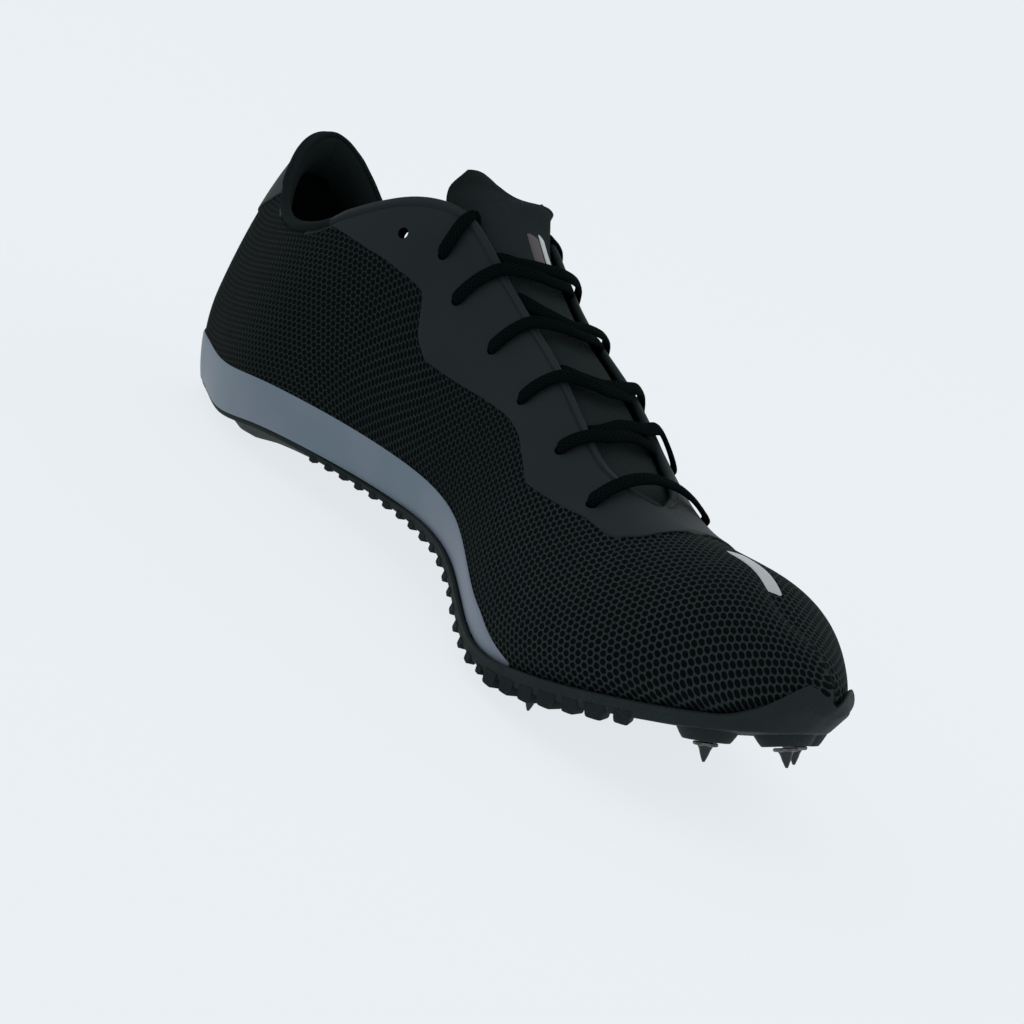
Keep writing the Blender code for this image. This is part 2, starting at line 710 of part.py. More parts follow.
def spike_mesh():
    """A pin with a hexagonal flange, its axis along Z, the flange's seat at z = 0 and the tip up."""
    body = bmesh.new()
    bmesh.ops.create_cone(
        body, cap_ends=True, segments=6, radius1=FLANGE_RADIUS, radius2=FLANGE_TOP_RADIUS,
        depth=FLANGE_THICKNESS, matrix=Matrix.Translation((0, 0, FLANGE_THICKNESS / 2)),
    )
    flange = max(body.faces, key=lambda face: face.calc_center_median().z)
    rings = ((SPIKE_ROOT_RADIUS, 0), (SPIKE_RADIUS, SPIKE_ROOT_HEIGHT), (SPIKE_TIP_RADIUS, SPIKE_LENGTH))
    for radius, height in rings:
        bmesh.ops.inset_region(body, faces=[flange], thickness=0.0002)
        centre = flange.calc_center_median()
        for corner in flange.verts:
            arm = corner.co - centre
            corner.co = Vector((arm.x, arm.y, 0)).normalized() * radius + Vector((0, 0, FLANGE_THICKNESS + height))
    mesh = bpy.data.meshes.new("spike")
    body.to_mesh(mesh)
    body.free()
    return mesh


def build_spikes():
    """Six spikes that share one mesh, each seated on its pod."""
    mesh = spike_mesh()
    pieces = []
    for name, place, normal, depth in spike_seats():
        spike = add_object(name, mesh, STEEL)
        spike.location = place + normal * (depth + GAP)
        spike.rotation_euler = normal.to_track_quat("Z", "Y").to_euler()
        pieces.append(spike)
    return pieces


def strand(name, path, ups, width, thickness):
    """A flat oval lace carried along a path, its width square to the path and to the local up."""
    angles = (np.arange(LACE_SIDES) + 0.5) * 2 * math.pi / LACE_SIDES
    half = width / 2 / math.cos(math.pi / LACE_SIDES)
    ahead = np.gradient(path, axis=0)
    across = np.cross(ahead, ups)
    across = across / np.linalg.norm(across, axis=1, keepdims=True)
    up = np.cross(across, ahead)
    up = up / np.linalg.norm(up, axis=1, keepdims=True)
    rings = (path[:, None] + across[:, None] * (np.cos(angles) * half)[None, :, None]
             + up[:, None] * (np.sin(angles) * thickness / 2)[None, :, None])
    count = len(path)
    index = np.arange(count * LACE_SIDES).reshape(count, LACE_SIDES)
    after = np.roll(index, -1, axis=1)
    faces = np.stack([index[:-1], after[:-1], after[1:], index[1:]], -1).reshape(-1, 4).tolist()
    faces.append(index[0, ::-1].tolist())
    faces.append(index[-1].tolist())
    return mesh_from(name, rings.reshape(-1, 3), faces)


def lace_path(start, end, lifts):
    """Path from a station and share on one side of the throat to the other side, over the crest.

    The share rises evenly to the crest and falls again, and each point is lifted square to the last. Near
    the crest the two sides' normals are blended.
    """
    part = np.linspace(0, 1, LACE_POINTS)
    lift = np.interp(part, np.linspace(0, 1, len(lifts)), lifts)
    (first, low), (last, high) = start, end
    share = np.where(part < 0.5, low + (1 - low) * 2 * part, high + (1 - high) * 2 * (1 - part))
    number = from_toe(first) + (from_toe(last) - from_toe(first)) * part
    on_first = (part < 0.5) == (first < TOE)
    station = np.where(on_first, number, TURN - number)
    near_crest, blend_from = 0.93, 0.75
    own = form_normal(station, np.minimum(share, near_crest))
    other = form_normal(TURN - station, near_crest)
    weight = np.clip((share - blend_from) / (1 - blend_from), 0, 1)[:, None] * 0.5
    up = own * (1 - weight) + other * weight
    up = up / np.linalg.norm(up, axis=1, keepdims=True)
    return form(station, share) + up * lift[:, None], up


def lace_strand(name, start, end, lifts):
    """One strand over the throat."""
    path, up = lace_path(start, end, lifts)
    return strand(name, path, up, LACE_WIDTH, LACE_THICKNESS)


def build_laces():
    """The bar over the foot of the throat, and a crossing of two strands between each pair of eyelets.

    Each strand of a crossing enters its eyelet from above. It comes over the edge beside that eyelet from
    under the far edge, on the side towards the toe, and stops short of the wall that it lies under.
    """
    over = OVERLAY_STEP + LACE_CLEARANCE + LACE_THICKNESS / 2
    under = 2 * LACE_CLEARANCE + LACE_THICKNESS / 2 - WALL - 3 * GAP
    number, share = EYELETS[0]
    bow = over + LACE_BOW * np.sin(np.linspace(0, math.pi, 7))
    lifts = [over, over, over, over, over * 0.6, under * 0.2, under]
    bar = lace_strand("lace_bar", (number, share), (TURN - number, share), bow)
    pieces = [add_object("lace_bar", bar, BLACK_LACE)]
    for place, (low, high) in enumerate(zip(EYELETS[:-2], EYELETS[1:-1]), 1):
        name = f"lace_crossing_{place}"
        meshes = []
        far = high[0] + (low[0] - high[0]) * LACE_RUN
        for side in (1, -1):
            start = (side * high[0] % TURN, high[1])
            end = (-side * far % TURN, read_table(TOPLINE, far) + LACE_PAST_EDGE)
            meshes.append(lace_strand(f"{name}_strand", start, end, lifts))
        crossing = add_object(name, meshes[0], BLACK_LACE)
        add_boolean(crossing, add_object(f"{name}_other", meshes[1]), "UNION")
        pieces.append(crossing)
    return pieces


def clear_scene():
    """Remove every object of the open file."""
    for piece in list(bpy.data.objects):
        bpy.data.objects.remove(piece, do_unlink=True)


def main():
    """Build the shoe from the sole up."""
    clear_scene()
    build_sole()
    build_insole()
    build_upper()
    build_tongue()
    build_spikes()
    build_laces()


main()
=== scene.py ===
"""Left track spike shoe, dressed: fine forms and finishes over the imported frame.

Metres. The toe points to +X, the lateral side to +Y, up is +Z and the floor is z = 0. The shoe is laid out on
its last: a station numbers the meridians round the foot, 0 at the heel's back and 12 at the toe's tip up the
medial side, 24 minus the same number on the lateral side. A share runs along a meridian from 0 at the feather,
where the upper meets the sole, to 1 at the crest on top.
"""

import logging
import math
from dataclasses import dataclass
from enum import Enum
from functools import cached_property
from typing import Any, Mapping, NamedTuple, Optional, Sequence, Union

import bmesh
import bpy
import numpy as np
from mathutils import Matrix, Vector
from numpy.typing import NDArray


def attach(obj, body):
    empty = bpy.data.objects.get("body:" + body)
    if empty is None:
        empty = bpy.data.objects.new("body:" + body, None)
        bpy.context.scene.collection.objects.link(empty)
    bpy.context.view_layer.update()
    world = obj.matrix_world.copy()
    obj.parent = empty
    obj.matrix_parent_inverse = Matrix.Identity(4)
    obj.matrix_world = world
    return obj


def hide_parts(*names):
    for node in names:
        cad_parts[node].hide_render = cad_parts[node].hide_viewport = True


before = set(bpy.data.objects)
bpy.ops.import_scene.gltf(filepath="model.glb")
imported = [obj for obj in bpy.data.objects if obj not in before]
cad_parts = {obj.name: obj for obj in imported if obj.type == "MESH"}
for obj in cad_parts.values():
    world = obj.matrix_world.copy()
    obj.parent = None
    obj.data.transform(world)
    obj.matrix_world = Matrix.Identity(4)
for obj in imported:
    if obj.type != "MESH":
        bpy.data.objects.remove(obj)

Array = NDArray[np.float64]
Colour = tuple[float, float, float]
Number = Union[float, int]
Table = Sequence[tuple[float, float]]

LOG = logging.getLogger("spike_shoe")
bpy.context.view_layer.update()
FLOW = "Flow"  # the UV map that every soft piece's pattern follows, in metres


# --- arrays and meshes -------------------------------------------------------------------------------------


def smoothstep(value: Array) -> Array:
    """Ease from 0 to 1 with level ends: 3 t squared minus 2 t cubed, of the value held between 0 and 1."""
    t = np.clip(value, 0, 1)
    return t * t * (3 - 2 * t)


def unit(vectors: Array) -> Array:
    """Vectors divided by their own lengths."""
    return vectors / np.maximum(np.linalg.norm(vectors, axis=-1, keepdims=True), 1e-12)


def read_smooth(table: Table, at: Array, spread: float) -> Array:
    """A two-column table read with its corners rounded.

    The straight-line reading is averaged over nine places up to the spread away, weighted by a bell.

    Args:
        table: Pairs of place and value, in rising order of place.
        at: Places to read.
        spread: How far the average reaches to each side.

    Returns:
        The values, in the shape of `at`.
    """
    places, values = (np.array(column) for column in zip(*table))
    offsets = np.linspace(-1, 1, 9)
    weights = np.exp(-2 * offsets ** 2)
    read = np.interp(np.asarray(at)[..., None] + offsets * spread, places, values)
    return (read * weights).sum(-1) / weights.sum()


def catmull(rows: Array, count: int) -> Array:
    """Curve through rows of points, evenly spaced between each pair.

    Each span is the cubic whose end slopes are half the step between the two neighbours.

    Args:
        rows: Control rows, first axis along the curve.
        count: New rows for each span.

    Returns:
        The finer rows, ends included.
    """
    before = np.concatenate([2 * rows[:1] - rows[1:2], rows[:-1]])
    after = np.concatenate([rows[1:], 2 * rows[-1:] - rows[-2:-1]])
    slope = (after - before) / 2
    t = (np.arange(count) / count).reshape((1, count) + (1,) * (rows.ndim - 1))
    start, end = rows[:-1, None], rows[1:, None]
    leave, arrive = slope[:-1, None], slope[1:, None]
    fine = (start * (1 + 2 * t) * (1 - t) ** 2 + leave * t * (1 - t) ** 2
            + end * t ** 2 * (3 - 2 * t) + arrive * t ** 2 * (t - 1))
    return np.concatenate([fine.reshape((-1,) + rows.shape[1:]), rows[-1:]])


def strip_quads(index: NDArray[np.int64], closed: bool = False) -> NDArray[np.int64]:
    """Quads between the neighbouring rows of a grid of vertex numbers.

    Args:
        index: Vertex numbers, first axis along, second across.
        closed: Whether the last row along joins the first.

    Returns:
        One row of four numbers for each quad.
    """
    start = index if closed else index[:-1]
    after = np.roll(index, -1, axis=0) if closed else index[1:]
    return np.stack([start[:, :-1], after[:, :-1], after[:, 1:], start[:, 1:]], -1).reshape(-1, 4)


def sheet_normals(points: Array, quads: NDArray[np.int64]) -> Array:
    """Unit normals of a quad sheet, each the sum of its quads' crossed diagonals."""
    corners = points[quads]
    facing = np.cross(corners[:, 2] - corners[:, 0], corners[:, 3] - corners[:, 1])
    normals = np.zeros_like(points)
    np.add.at(normals, quads.reshape(-1), np.repeat(facing, 4, axis=0))
    return unit(normals)


def filleted(profile: Array, radii: Sequence[float], steps: int = 5) -> Array:
    """Profiles with their corners rounded.

    Each corner with a radius becomes the parabola that leaves the incoming edge one radius before the corner
    and meets the outgoing edge one radius after it, or half the edge where that is shorter.

    Args:
        profile: Corner points, shape (columns, corners, 3).
        radii: A radius for each corner, 0 keeps it sharp.
        steps: Points on each rounded corner.

    Returns:
        The rounded profiles, shape (columns, points, 3).
    """
    parts = []
    for number, radius in enumerate(radii):
        corner = profile[:, number]
        if not radius or number in (0, len(radii) - 1):
            parts.append(corner[:, None])
            continue
        back, ahead = profile[:, number - 1] - corner, profile[:, number + 1] - corner
        near = corner + unit(back) * np.minimum(radius, np.linalg.norm(back, axis=1, keepdims=True) / 2)
        far = corner + unit(ahead) * np.minimum(radius, np.linalg.norm(ahead, axis=1, keepdims=True) / 2)
        t = np.linspace(0, 1, steps)[None, :, None]
        parts.append(near[:, None] * (1 - t) ** 2 + 2 * corner[:, None] * t * (1 - t) + far[:, None] * t ** 2)
    return np.concatenate(parts, axis=1)


@dataclass
class Body:
    """Vertices, quads, flow coordinates and finish numbers of a piece in the making."""

    points: Array
    quads: NDArray[np.int64]
    flow: Optional[Array] = None
    finish: Optional[NDArray[np.int64]] = None

    def joined(self, other: "Body") -> "Body":
        """This body and another as one."""
        zeros = [np.zeros((len(part.points), 2)) if part.flow is None else part.flow for part in (self, other)]
        plain = [np.zeros(len(part.quads), int) if part.finish is None else part.finish for part in (self, other)]
        return Body(
            np.concatenate([self.points, other.points]),
            np.concatenate([self.quads, other.quads + len(self.points)]),
            np.concatenate(zeros), np.concatenate(plain),
        )


def join_all(bodies: Sequence[Body]) -> Body:
    """Several bodies as one, in order."""
    whole = bodies[0]
    for body in bodies[1:]:
        whole = whole.joined(body)
    return whole


def make_piece(
    name: str, body: Body, materials: Sequence[bpy.types.Material], sharp: float = 50, outward: bool = False,
) -> bpy.types.Object:
    """Blender object of a body, its doubled points merged and its shading smooth.

    Args:
        name: The piece's name.
        body: Its vertices and quads.
        materials: One for each finish number.
        sharp: Edges over this many degrees keep a crisp shade.
        outward: Whether the normals are worked out again.

    Returns:
        The linked object.
    """
    used, quads = np.unique(body.quads, return_inverse=True)
    quads = quads.reshape(-1, 4)
    mesh = bpy.data.meshes.new(name)
    mesh.vertices.add(len(used))
    mesh.vertices.foreach_set("co", body.points[used].astype(np.float32).ravel())
    mesh.loops.add(quads.size)
    mesh.loops.foreach_set("vertex_index", quads.astype(np.int32).ravel())
    mesh.polygons.add(len(quads))
    mesh.polygons.foreach_set("loop_start", np.arange(0, quads.size, 4, dtype=np.int32))
    if body.finish is not None:
        mesh.polygons.foreach_set("material_index", body.finish.astype(np.int32))
    mesh.update(calc_edges=True)
    if body.flow is not None:
        layer = mesh.uv_layers.new(name=FLOW)
        layer.uv.foreach_set("vector", body.flow[used][quads.ravel()].astype(np.float32).ravel())
    tidy = bmesh.new()
    tidy.from_mesh(mesh)
    bmesh.ops.remove_doubles(tidy, verts=tidy.verts[:], dist=2e-6)
    if outward:
        bmesh.ops.recalc_face_normals(tidy, faces=tidy.faces[:])
    tidy.to_mesh(mesh)
    tidy.free()
    for material in materials:
        mesh.materials.append(material)
    mesh.shade_smooth()
    mesh.set_sharp_from_angle(angle=math.radians(sharp))
    piece = bpy.data.objects.new(name, mesh)
    bpy.context.collection.objects.link(piece)
    return piece


def hand_over(piece: bpy.types.Object, nodes: Sequence[str] = ()) -> bpy.types.Object:
    """Put a piece on the shoe's body and the solids that it stands for."""
    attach(piece, "root")
    if nodes:
        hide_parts(*nodes)
    LOG.info("%s: %d faces", piece.name, len(piece.data.polygons))
    return piece


# --- shader sums -------------------------------------------------------------------------------------------


class Value:
    """A shader socket that takes part in sums; each sum adds its Math node."""

    def __init__(self, graph: "Graph", socket: bpy.types.NodeSocket) -> None:
        """Wrap a socket of a graph."""
        self.graph = graph
        self.socket = socket

    def __add__(self, other: "Term") -> "Value":
        """Sum."""
        return self.graph.math("ADD", self, other)

    __radd__ = __add__

    def __sub__(self, other: "Term") -> "Value":
        """Difference."""
        return self.graph.math("SUBTRACT", self, other)

    def __rsub__(self, other: "Term") -> "Value":
        """Difference the other way round."""
        return self.graph.math("SUBTRACT", other, self)

    def __mul__(self, other: "Term") -> "Value":
        """Product."""
        return self.graph.math("MULTIPLY", self, other)

    __rmul__ = __mul__

    def __truediv__(self, other: "Term") -> "Value":
        """Quotient."""
        return self.graph.math("DIVIDE", self, other)

    def floor(self) -> "Value":
        """The whole number below."""
        return self.graph.math("FLOOR", self)

    def sine(self) -> "Value":
        """Sine, of radians."""
        return self.graph.math("SINE", self)

    def size(self) -> "Value":
        """Absolute value."""
        return self.graph.math("ABSOLUTE", self)

    def root(self) -> "Value":
        """Square root."""
        return self.graph.math("SQRT", self)

    def least(self, other: "Term") -> "Value":
        """The smaller of two."""
        return self.graph.math("MINIMUM", self, other)

    def most(self, other: "Term") -> "Value":
        """The larger of two."""
        return self.graph.math("MAXIMUM", self, other)

    def ease(self, low: Number, high: Number) -> "Value":
        """0 below `low`, 1 above `high`, and smooth between them."""
        node = self.graph.node(
            "ShaderNodeMapRange", {"interpolation_type": "SMOOTHSTEP"},
            {"Value": self, "From Min": low, "From Max": high, "To Min": 0.0, "To Max": 1.0},
        )
        return Value(self.graph, node.outputs["Result"])


Term = Union[Value, float, int]
Input = Union[Value, float, int, Sequence[float], bpy.types.NodeSocket]


class Graph:
    """Node tree of one material, with its Principled shader."""

    def __init__(self, name: str) -> None:
        """Start a material of this name."""
        self.material = bpy.data.materials.new(name)
        self.material.use_nodes = True
        self.tree = self.material.node_tree
        self.shader = self.tree.nodes["Principled BSDF"]

    def feed(self, socket: bpy.types.NodeSocket, value: Input) -> None:
        """Link a value to a socket, or set it there."""
        if isinstance(value, Value):
            self.tree.links.new(value.socket, socket)
        elif isinstance(value, bpy.types.NodeSocket):
            self.tree.links.new(value, socket)
        elif isinstance(value, (float, int)):
            socket.default_value = value
        else:
            wide = len(socket.default_value)
            socket.default_value = tuple(value) + (1.0,) * (wide - len(value))

    def node(self, kind: str, settings: Mapping[str, Any], inputs: Mapping[Any, Input]) -> bpy.types.Node:
        """Any node.

        Args:
            kind: Blender's name of the node's type.
            settings: Its settings, set first.
            inputs: Values or links by the name or number of the socket.

        Returns:
            The new node.
        """
        node = self.tree.nodes.new(kind)
        for key, value in settings.items():
            setattr(node, key, value)
        for key, value in inputs.items():
            self.feed(node.inputs[key], value)
        return node

    def math(self, operation: str, *values: Term) -> Value:
        """Math node of an operation on its values."""
        node = self.node("ShaderNodeMath", {"operation": operation}, dict(enumerate(values)))
        return Value(self, node.outputs[0])

    def mix(self, factor: Input, first: Input, second: Input) -> Value:
        """Colour between two, by a factor."""
        node = self.node("ShaderNodeMix", {"data_type": "RGBA"}, {0: factor, 6: first, 7: second})
        return Value(self, node.outputs[2])

    def flow(self) -> tuple[Value, Value]:
        """The flow coordinates: along the shoe, and round it."""
        source = self.node("ShaderNodeUVMap", {"uv_map": FLOW}, {})
        parts = self.node("ShaderNodeSeparateXYZ", {}, {0: source.outputs["UV"]})
        return Value(self, parts.outputs[0]), Value(self, parts.outputs[1])

    def place(self) -> bpy.types.NodeSocket:
        """Object coordinates, in metres."""
        return self.node("ShaderNodeTexCoord", {}, {}).outputs["Object"]

    def place_parts(self) -> tuple[Value, Value, Value]:
        """Object coordinates as three values."""
        parts = self.node("ShaderNodeSeparateXYZ", {}, {0: self.place()})
        return Value(self, parts.outputs[0]), Value(self, parts.outputs[1]), Value(self, parts.outputs[2])

    def noise(self, scale: float, detail: float = 2.0, roughness: float = 0.5) -> Value:
        """Cloudy values about 0.5, with features of 1 / scale metres."""
        node = self.node(
            "ShaderNodeTexNoise", {}, {"Vector": self.place(), "Scale": scale, "Detail": detail,
                                       "Roughness": roughness},
        )
        return Value(self, node.outputs["Fac"])

    def bump(self, height: Value, depth: float, strength: float = 1.0) -> None:
        """Feed the shader's normal from a height, in metres at depth 1."""
        node = self.node("ShaderNodeBump", {}, {"Height": height, "Distance": depth, "Strength": strength})
        self.feed(self.shader.inputs["Normal"], node.outputs["Normal"])

    def surface(self, colour: Input, roughness: Input, specular: float, metallic: float = 0.0) -> None:
        """Set the shader's main sockets."""
        self.feed(self.shader.inputs["Base Color"], colour)
        self.feed(self.shader.inputs["Roughness"], roughness)
        self.shader.inputs["Specular IOR Level"].default_value = specular
        self.shader.inputs["Metallic"].default_value = metallic


# --- finishes ----------------------------------------------------------------------------------------------


@dataclass(frozen=True)
class OpenMesh:
    """Knitted mesh with round holes in a six-sided lattice."""

    name: str = "open_mesh"
    thread: Colour = (0.0112, 0.0160, 0.0160)
    hole: Colour = (0.0008, 0.0020, 0.0020)
    pitch: float = 0.00197
    hole_share: float = 0.415

    def build(self) -> bpy.types.Material:
        """Material: the distance to the nearest point of two interleaved grids cuts the holes."""
        graph = Graph(self.name)
        along, round_ = graph.flow()
        u, v = along / self.pitch, round_ / (self.pitch * math.sqrt(3))
        spots = []
        for shift in (0.0, 0.5):
            du = u + shift
            dv = v + shift
            du = (du - du.floor() - 0.5).size()
            dv = (dv - dv.floor() - 0.5).size() * math.sqrt(3)
            spots.append((du * du + dv * dv).root())
        near = spots[0].least(spots[1])
        wobble = (graph.noise(1400, 1.0) - 0.5) * 0.08
        front = graph.place_parts()[0].ease(0.0, 0.08)
        solid = (near + wobble + front * 0.03).ease(self.hole_share - 0.05, self.hole_share + 0.05)
        ply = ((u * 12.0).sine() * (v * 21.0).sine()) * 0.12 + 0.94
        shade = graph.noise(70, 2.0).ease(0.3, 0.7) * 0.14 + 0.93
        bright = tuple(channel * 1.8 for channel in self.thread)
        cloth = graph.mix((ply * shade - 0.80) * 1.2 + front * 0.45, self.thread, bright)
        graph.surface(graph.mix(solid, self.hole, cloth), 0.85, 0.04)
        graph.bump(solid * (0.9 + (near * 6.0).sine() * 0.1) + ply * 0.2, 0.00035)
        return graph.material


@dataclass(frozen=True)
class Film:
    """Smooth bonded film or soft plastic with a faint grain."""

    name: str
    colour: Colour
    second: Colour
    roughness: float = 0.55
    specular: float = 0.06
    grain: float = 2600.0
    depth: float = 0.00004

    def build(self) -> bpy.types.Material:
        """Material: slow clouds between two near colours, over a fine grain."""
        graph = Graph(self.name)
        cloud = graph.noise(28, 2.0).ease(0.35, 0.65)
        fine = graph.noise(self.grain, 2.0, 0.6)
        colour = graph.mix(cloud, self.colour, self.second)
        graph.surface(colour, self.roughness + (fine - 0.5) * 0.12, self.specular)
        graph.bump(fine, self.depth)
        return graph.material


@dataclass(frozen=True)
class Knit:
    """Close knit cloth: rows of small loops along the flow."""

    name: str
    colour: Colour
    dark: Colour
    pitch: float = 0.0009
    roughness: float = 0.9
    specular: float = 0.03
    depth: float = 0.00012

    def build(self) -> bpy.types.Material:
        """Material: crossed sines make the loops, and a slow cloud varies the shade."""
        graph = Graph(self.name)
        along, round_ = graph.flow()
        turn = 2 * math.pi / self.pitch
        loops = (along * turn + (round_ * turn * 0.5).sine() * 0.9).sine() * (round_ * turn).sine()
        fibre = graph.noise(3200, 2.0, 0.6)
        level = (loops * 0.3 + fibre * 0.5 + 0.25).ease(0.1, 0.9)
        cloud = graph.noise(45, 2.0) * 0.3
        graph.surface(graph.mix(level * 0.8 + cloud - 0.1, self.dark, self.colour), self.roughness, self.specular)
        graph.bump(level, self.depth)
        return graph.material


@dataclass(frozen=True)
class Rubber:
    """Moulded rubber with a pitted face."""

    name: str
    colour: Colour
    dust: Colour
    roughness: float = 0.6
    specular: float = 0.08
    pits: float = 1500.0
    depth: float = 0.00010

    def build(self) -> bpy.types.Material:
        """Material: pits from fine noise, and a paler dust where a slow noise is high."""
        graph = Graph(self.name)
        pits = graph.noise(self.pits, 3.0, 0.65)
        speckle = pits.ease(0.42, 0.62)
        dust = graph.noise(60, 3.0, 0.6).ease(0.42, 0.72) * speckle
        graph.surface(graph.mix(dust, self.colour, self.dust), self.roughness + speckle * 0.1, self.specular)
        graph.bump(pits, self.depth)
        return graph.material


@dataclass(frozen=True)
class Braid:
    """Braided lace: strands that cross on the slant."""

    name: str = "lace_braid"
    colour: Colour = (0.0021, 0.0042, 0.0042)
    dark: Colour = (0.0009, 0.0018, 0.0018)
    pitch: float = 0.0016

    def build(self) -> bpy.types.Material:
        """Material: two slanted sines, the higher of which lies on top."""
        graph = Graph(self.name)
        round_, along = graph.flow()
        turn = 2 * math.pi / self.pitch
        left = (along * turn + round_ * (2 * math.pi * 5)).sine()
        right = (along * turn - round_ * (2 * math.pi * 5)).sine()
        weave = left.most(right)
        fibre = graph.noise(3600, 2.0)
        level = (weave * 0.5 + fibre * 0.4 + 0.1).ease(0.0, 0.8)
        graph.surface(graph.mix(level, self.dark, self.colour), 0.9, 0.01)
        graph.bump(level, 0.00018)
        return graph.material


@dataclass(frozen=True)
class Steel:
    """Turned steel, slightly worn."""

    name: str
    colour: Colour
    roughness: float = 0.38

    def build(self) -> bpy.types.Material:
        """Material: fine turning marks across the pin, and scuffs."""
        graph = Graph(self.name)
        marks = graph.noise(2400, 3.0, 0.7)
        scuff = graph.noise(420, 2.0).ease(0.45, 0.7)
        dull = tuple(channel * 0.55 for channel in self.colour)
        graph.surface(graph.mix(scuff, self.colour, dull), self.roughness + scuff * 0.2, 0.5, 1.0)
        graph.bump(marks, 0.00003)
        return graph.material


@dataclass(frozen=True)
class Backdrop:
    """Plain pale floor that glows nearly as bright as the sky, so that shadows stay faint."""

    name: str = "pale_floor"
    colour: Colour = (0.823, 0.863, 0.896)
    glow: float = 0.9

    def build(self) -> bpy.types.Material:
        """Material whose own light and whose answer to the sky's light add up to the sky's colour."""
        graph = Graph(self.name)
        graph.surface((1.0 - self.glow,) * 3, 1.0, 0.0)
        graph.shader.inputs["Emission Color"].default_value = (*self.colour, 1.0)
        graph.shader.inputs["Emission Strength"].default_value = self.glow
        return graph.material


class Finish(Enum):
    """The shoe's finishes."""

    MESH = OpenMesh()
    EYESTAY = Film("eyestay_film", (0.0112, 0.0165, 0.0166), (0.0128, 0.0172, 0.0190))
    HEEL = Film("heel_film", (0.0260, 0.0330, 0.0330), (0.0290, 0.0360, 0.0360), 0.6)
    BAND = Film("foxing_film", (0.115, 0.155, 0.188), (0.140, 0.166, 0.205), 0.42, 0.15)
    COLLAR = Knit("collar_knit", (0.0100, 0.0140, 0.0145), (0.0055, 0.0080, 0.0085), 0.0008)
    LINING = Knit("lining_knit", (0.0022, 0.0034, 0.0038), (0.0010, 0.0016, 0.0018), 0.0012)
    TONGUE = Knit("tongue_knit", (0.0165, 0.0220, 0.0220), (0.0125, 0.0170, 0.0170), 0.0010)
    INSOLE = Knit("insole_cloth", (0.0080, 0.0095, 0.0100), (0.0040, 0.0050, 0.0055), 0.0014)
    PLATE = Rubber("plate_rubber", (0.0110, 0.0165, 0.0165), (0.0200, 0.0260, 0.0260))
    LUG = Rubber("lug_rubber", (0.0070, 0.0105, 0.0110), (0.0150, 0.0200, 0.0200), 0.65)
    LACE = Braid()
    FLANGE = Steel("flange_steel", (0.12, 0.123, 0.12))
    # The cone steel is a darker copy of the flange steel: painted shade on each spike's neck and cone.
    CONE = Steel("cone_steel_painted_shade", (0.035, 0.037, 0.037))
    PRINT = Film("pale_print", (0.42, 0.44, 0.44), (0.36, 0.38, 0.38), 0.5, 0.3)
    PRINT_DIM = Film("dim_print", (0.065, 0.055, 0.058), (0.050, 0.045, 0.048), 0.6, 0.2)
    FLOOR = Backdrop()

    def material(self) -> bpy.types.Material:
        """The finish's material, built once."""
        return bpy.data.materials.get(self.value.name) or self.value.build()


BAR_ROWS = 25
BAR_COLUMNS = 13


def even_grid() -> tuple[Array, Array]:
    """Even places from -1 to 1 along and across a bar."""
    return tuple(np.meshgrid(np.linspace(-1, 1, BAR_ROWS), np.linspace(-1, 1, BAR_COLUMNS), indexing="ij"))


def bar_grid() -> tuple[Array, Array]:
    """Places of a raised bar's face, each from -1 to 1, drawn in to a rounded outline."""
    u, v = even_grid()
    return u, v * np.sqrt(np.clip(1 - np.abs(u) ** 30, 0.45, 1))


def raised_bar(name: str, place: Array, normal: Array, finish: Finish) -> bpy.types.Object:
    """A thin rounded bar laid on a surface.

    Its face stands over the surface by a height that falls off near the outline as one less the tenth power
    of the way out, and its back lies just under the surface.

    Args:
        name: The piece's name.
        place: Places on the surface, a grid of the shape of `bar_grid`.
        normal: The surface's unit normals there.
        finish: The bar's finish.

    Returns:
        The piece.
    """
    u, v = even_grid()
    rim_lift, face_lift, depth = 0.00005, 0.00025, 0.0006
    lift = rim_lift + face_lift * np.clip(1 - np.maximum(np.abs(u), np.abs(v)) ** 10, 0, 1)
    face = place + normal * lift[..., None]
    back = place - normal * depth
    stack = np.concatenate([face.reshape(-1, 3), back.reshape(-1, 3)])
    index = np.arange(u.size).reshape(u.shape)
    quads = strip_quads(index)
    rim = np.concatenate([index[:-1, 0], index[-1, :-1], index[:0:-1, -1], index[0, :0:-1]])
    around = np.stack([rim, np.roll(rim, -1), np.roll(rim, -1) + u.size, rim + u.size], -1)
    body = Body(stack, np.concatenate([quads, quads[:, ::-1] + u.size, around]))
    return make_piece(name, body, [finish.material()], 60, outward=True)


# --- the last ----------------------------------------------------------------------------------------------


class Section(NamedTuple):
    """One meridian pair of the last, all lengths as shares of the named sizes."""

    along: float
    medial: float
    lateral: float
    rise: float
    tuck: float
    fullness: float
    crest_along: float
    crest_side: float
    crest_height: float


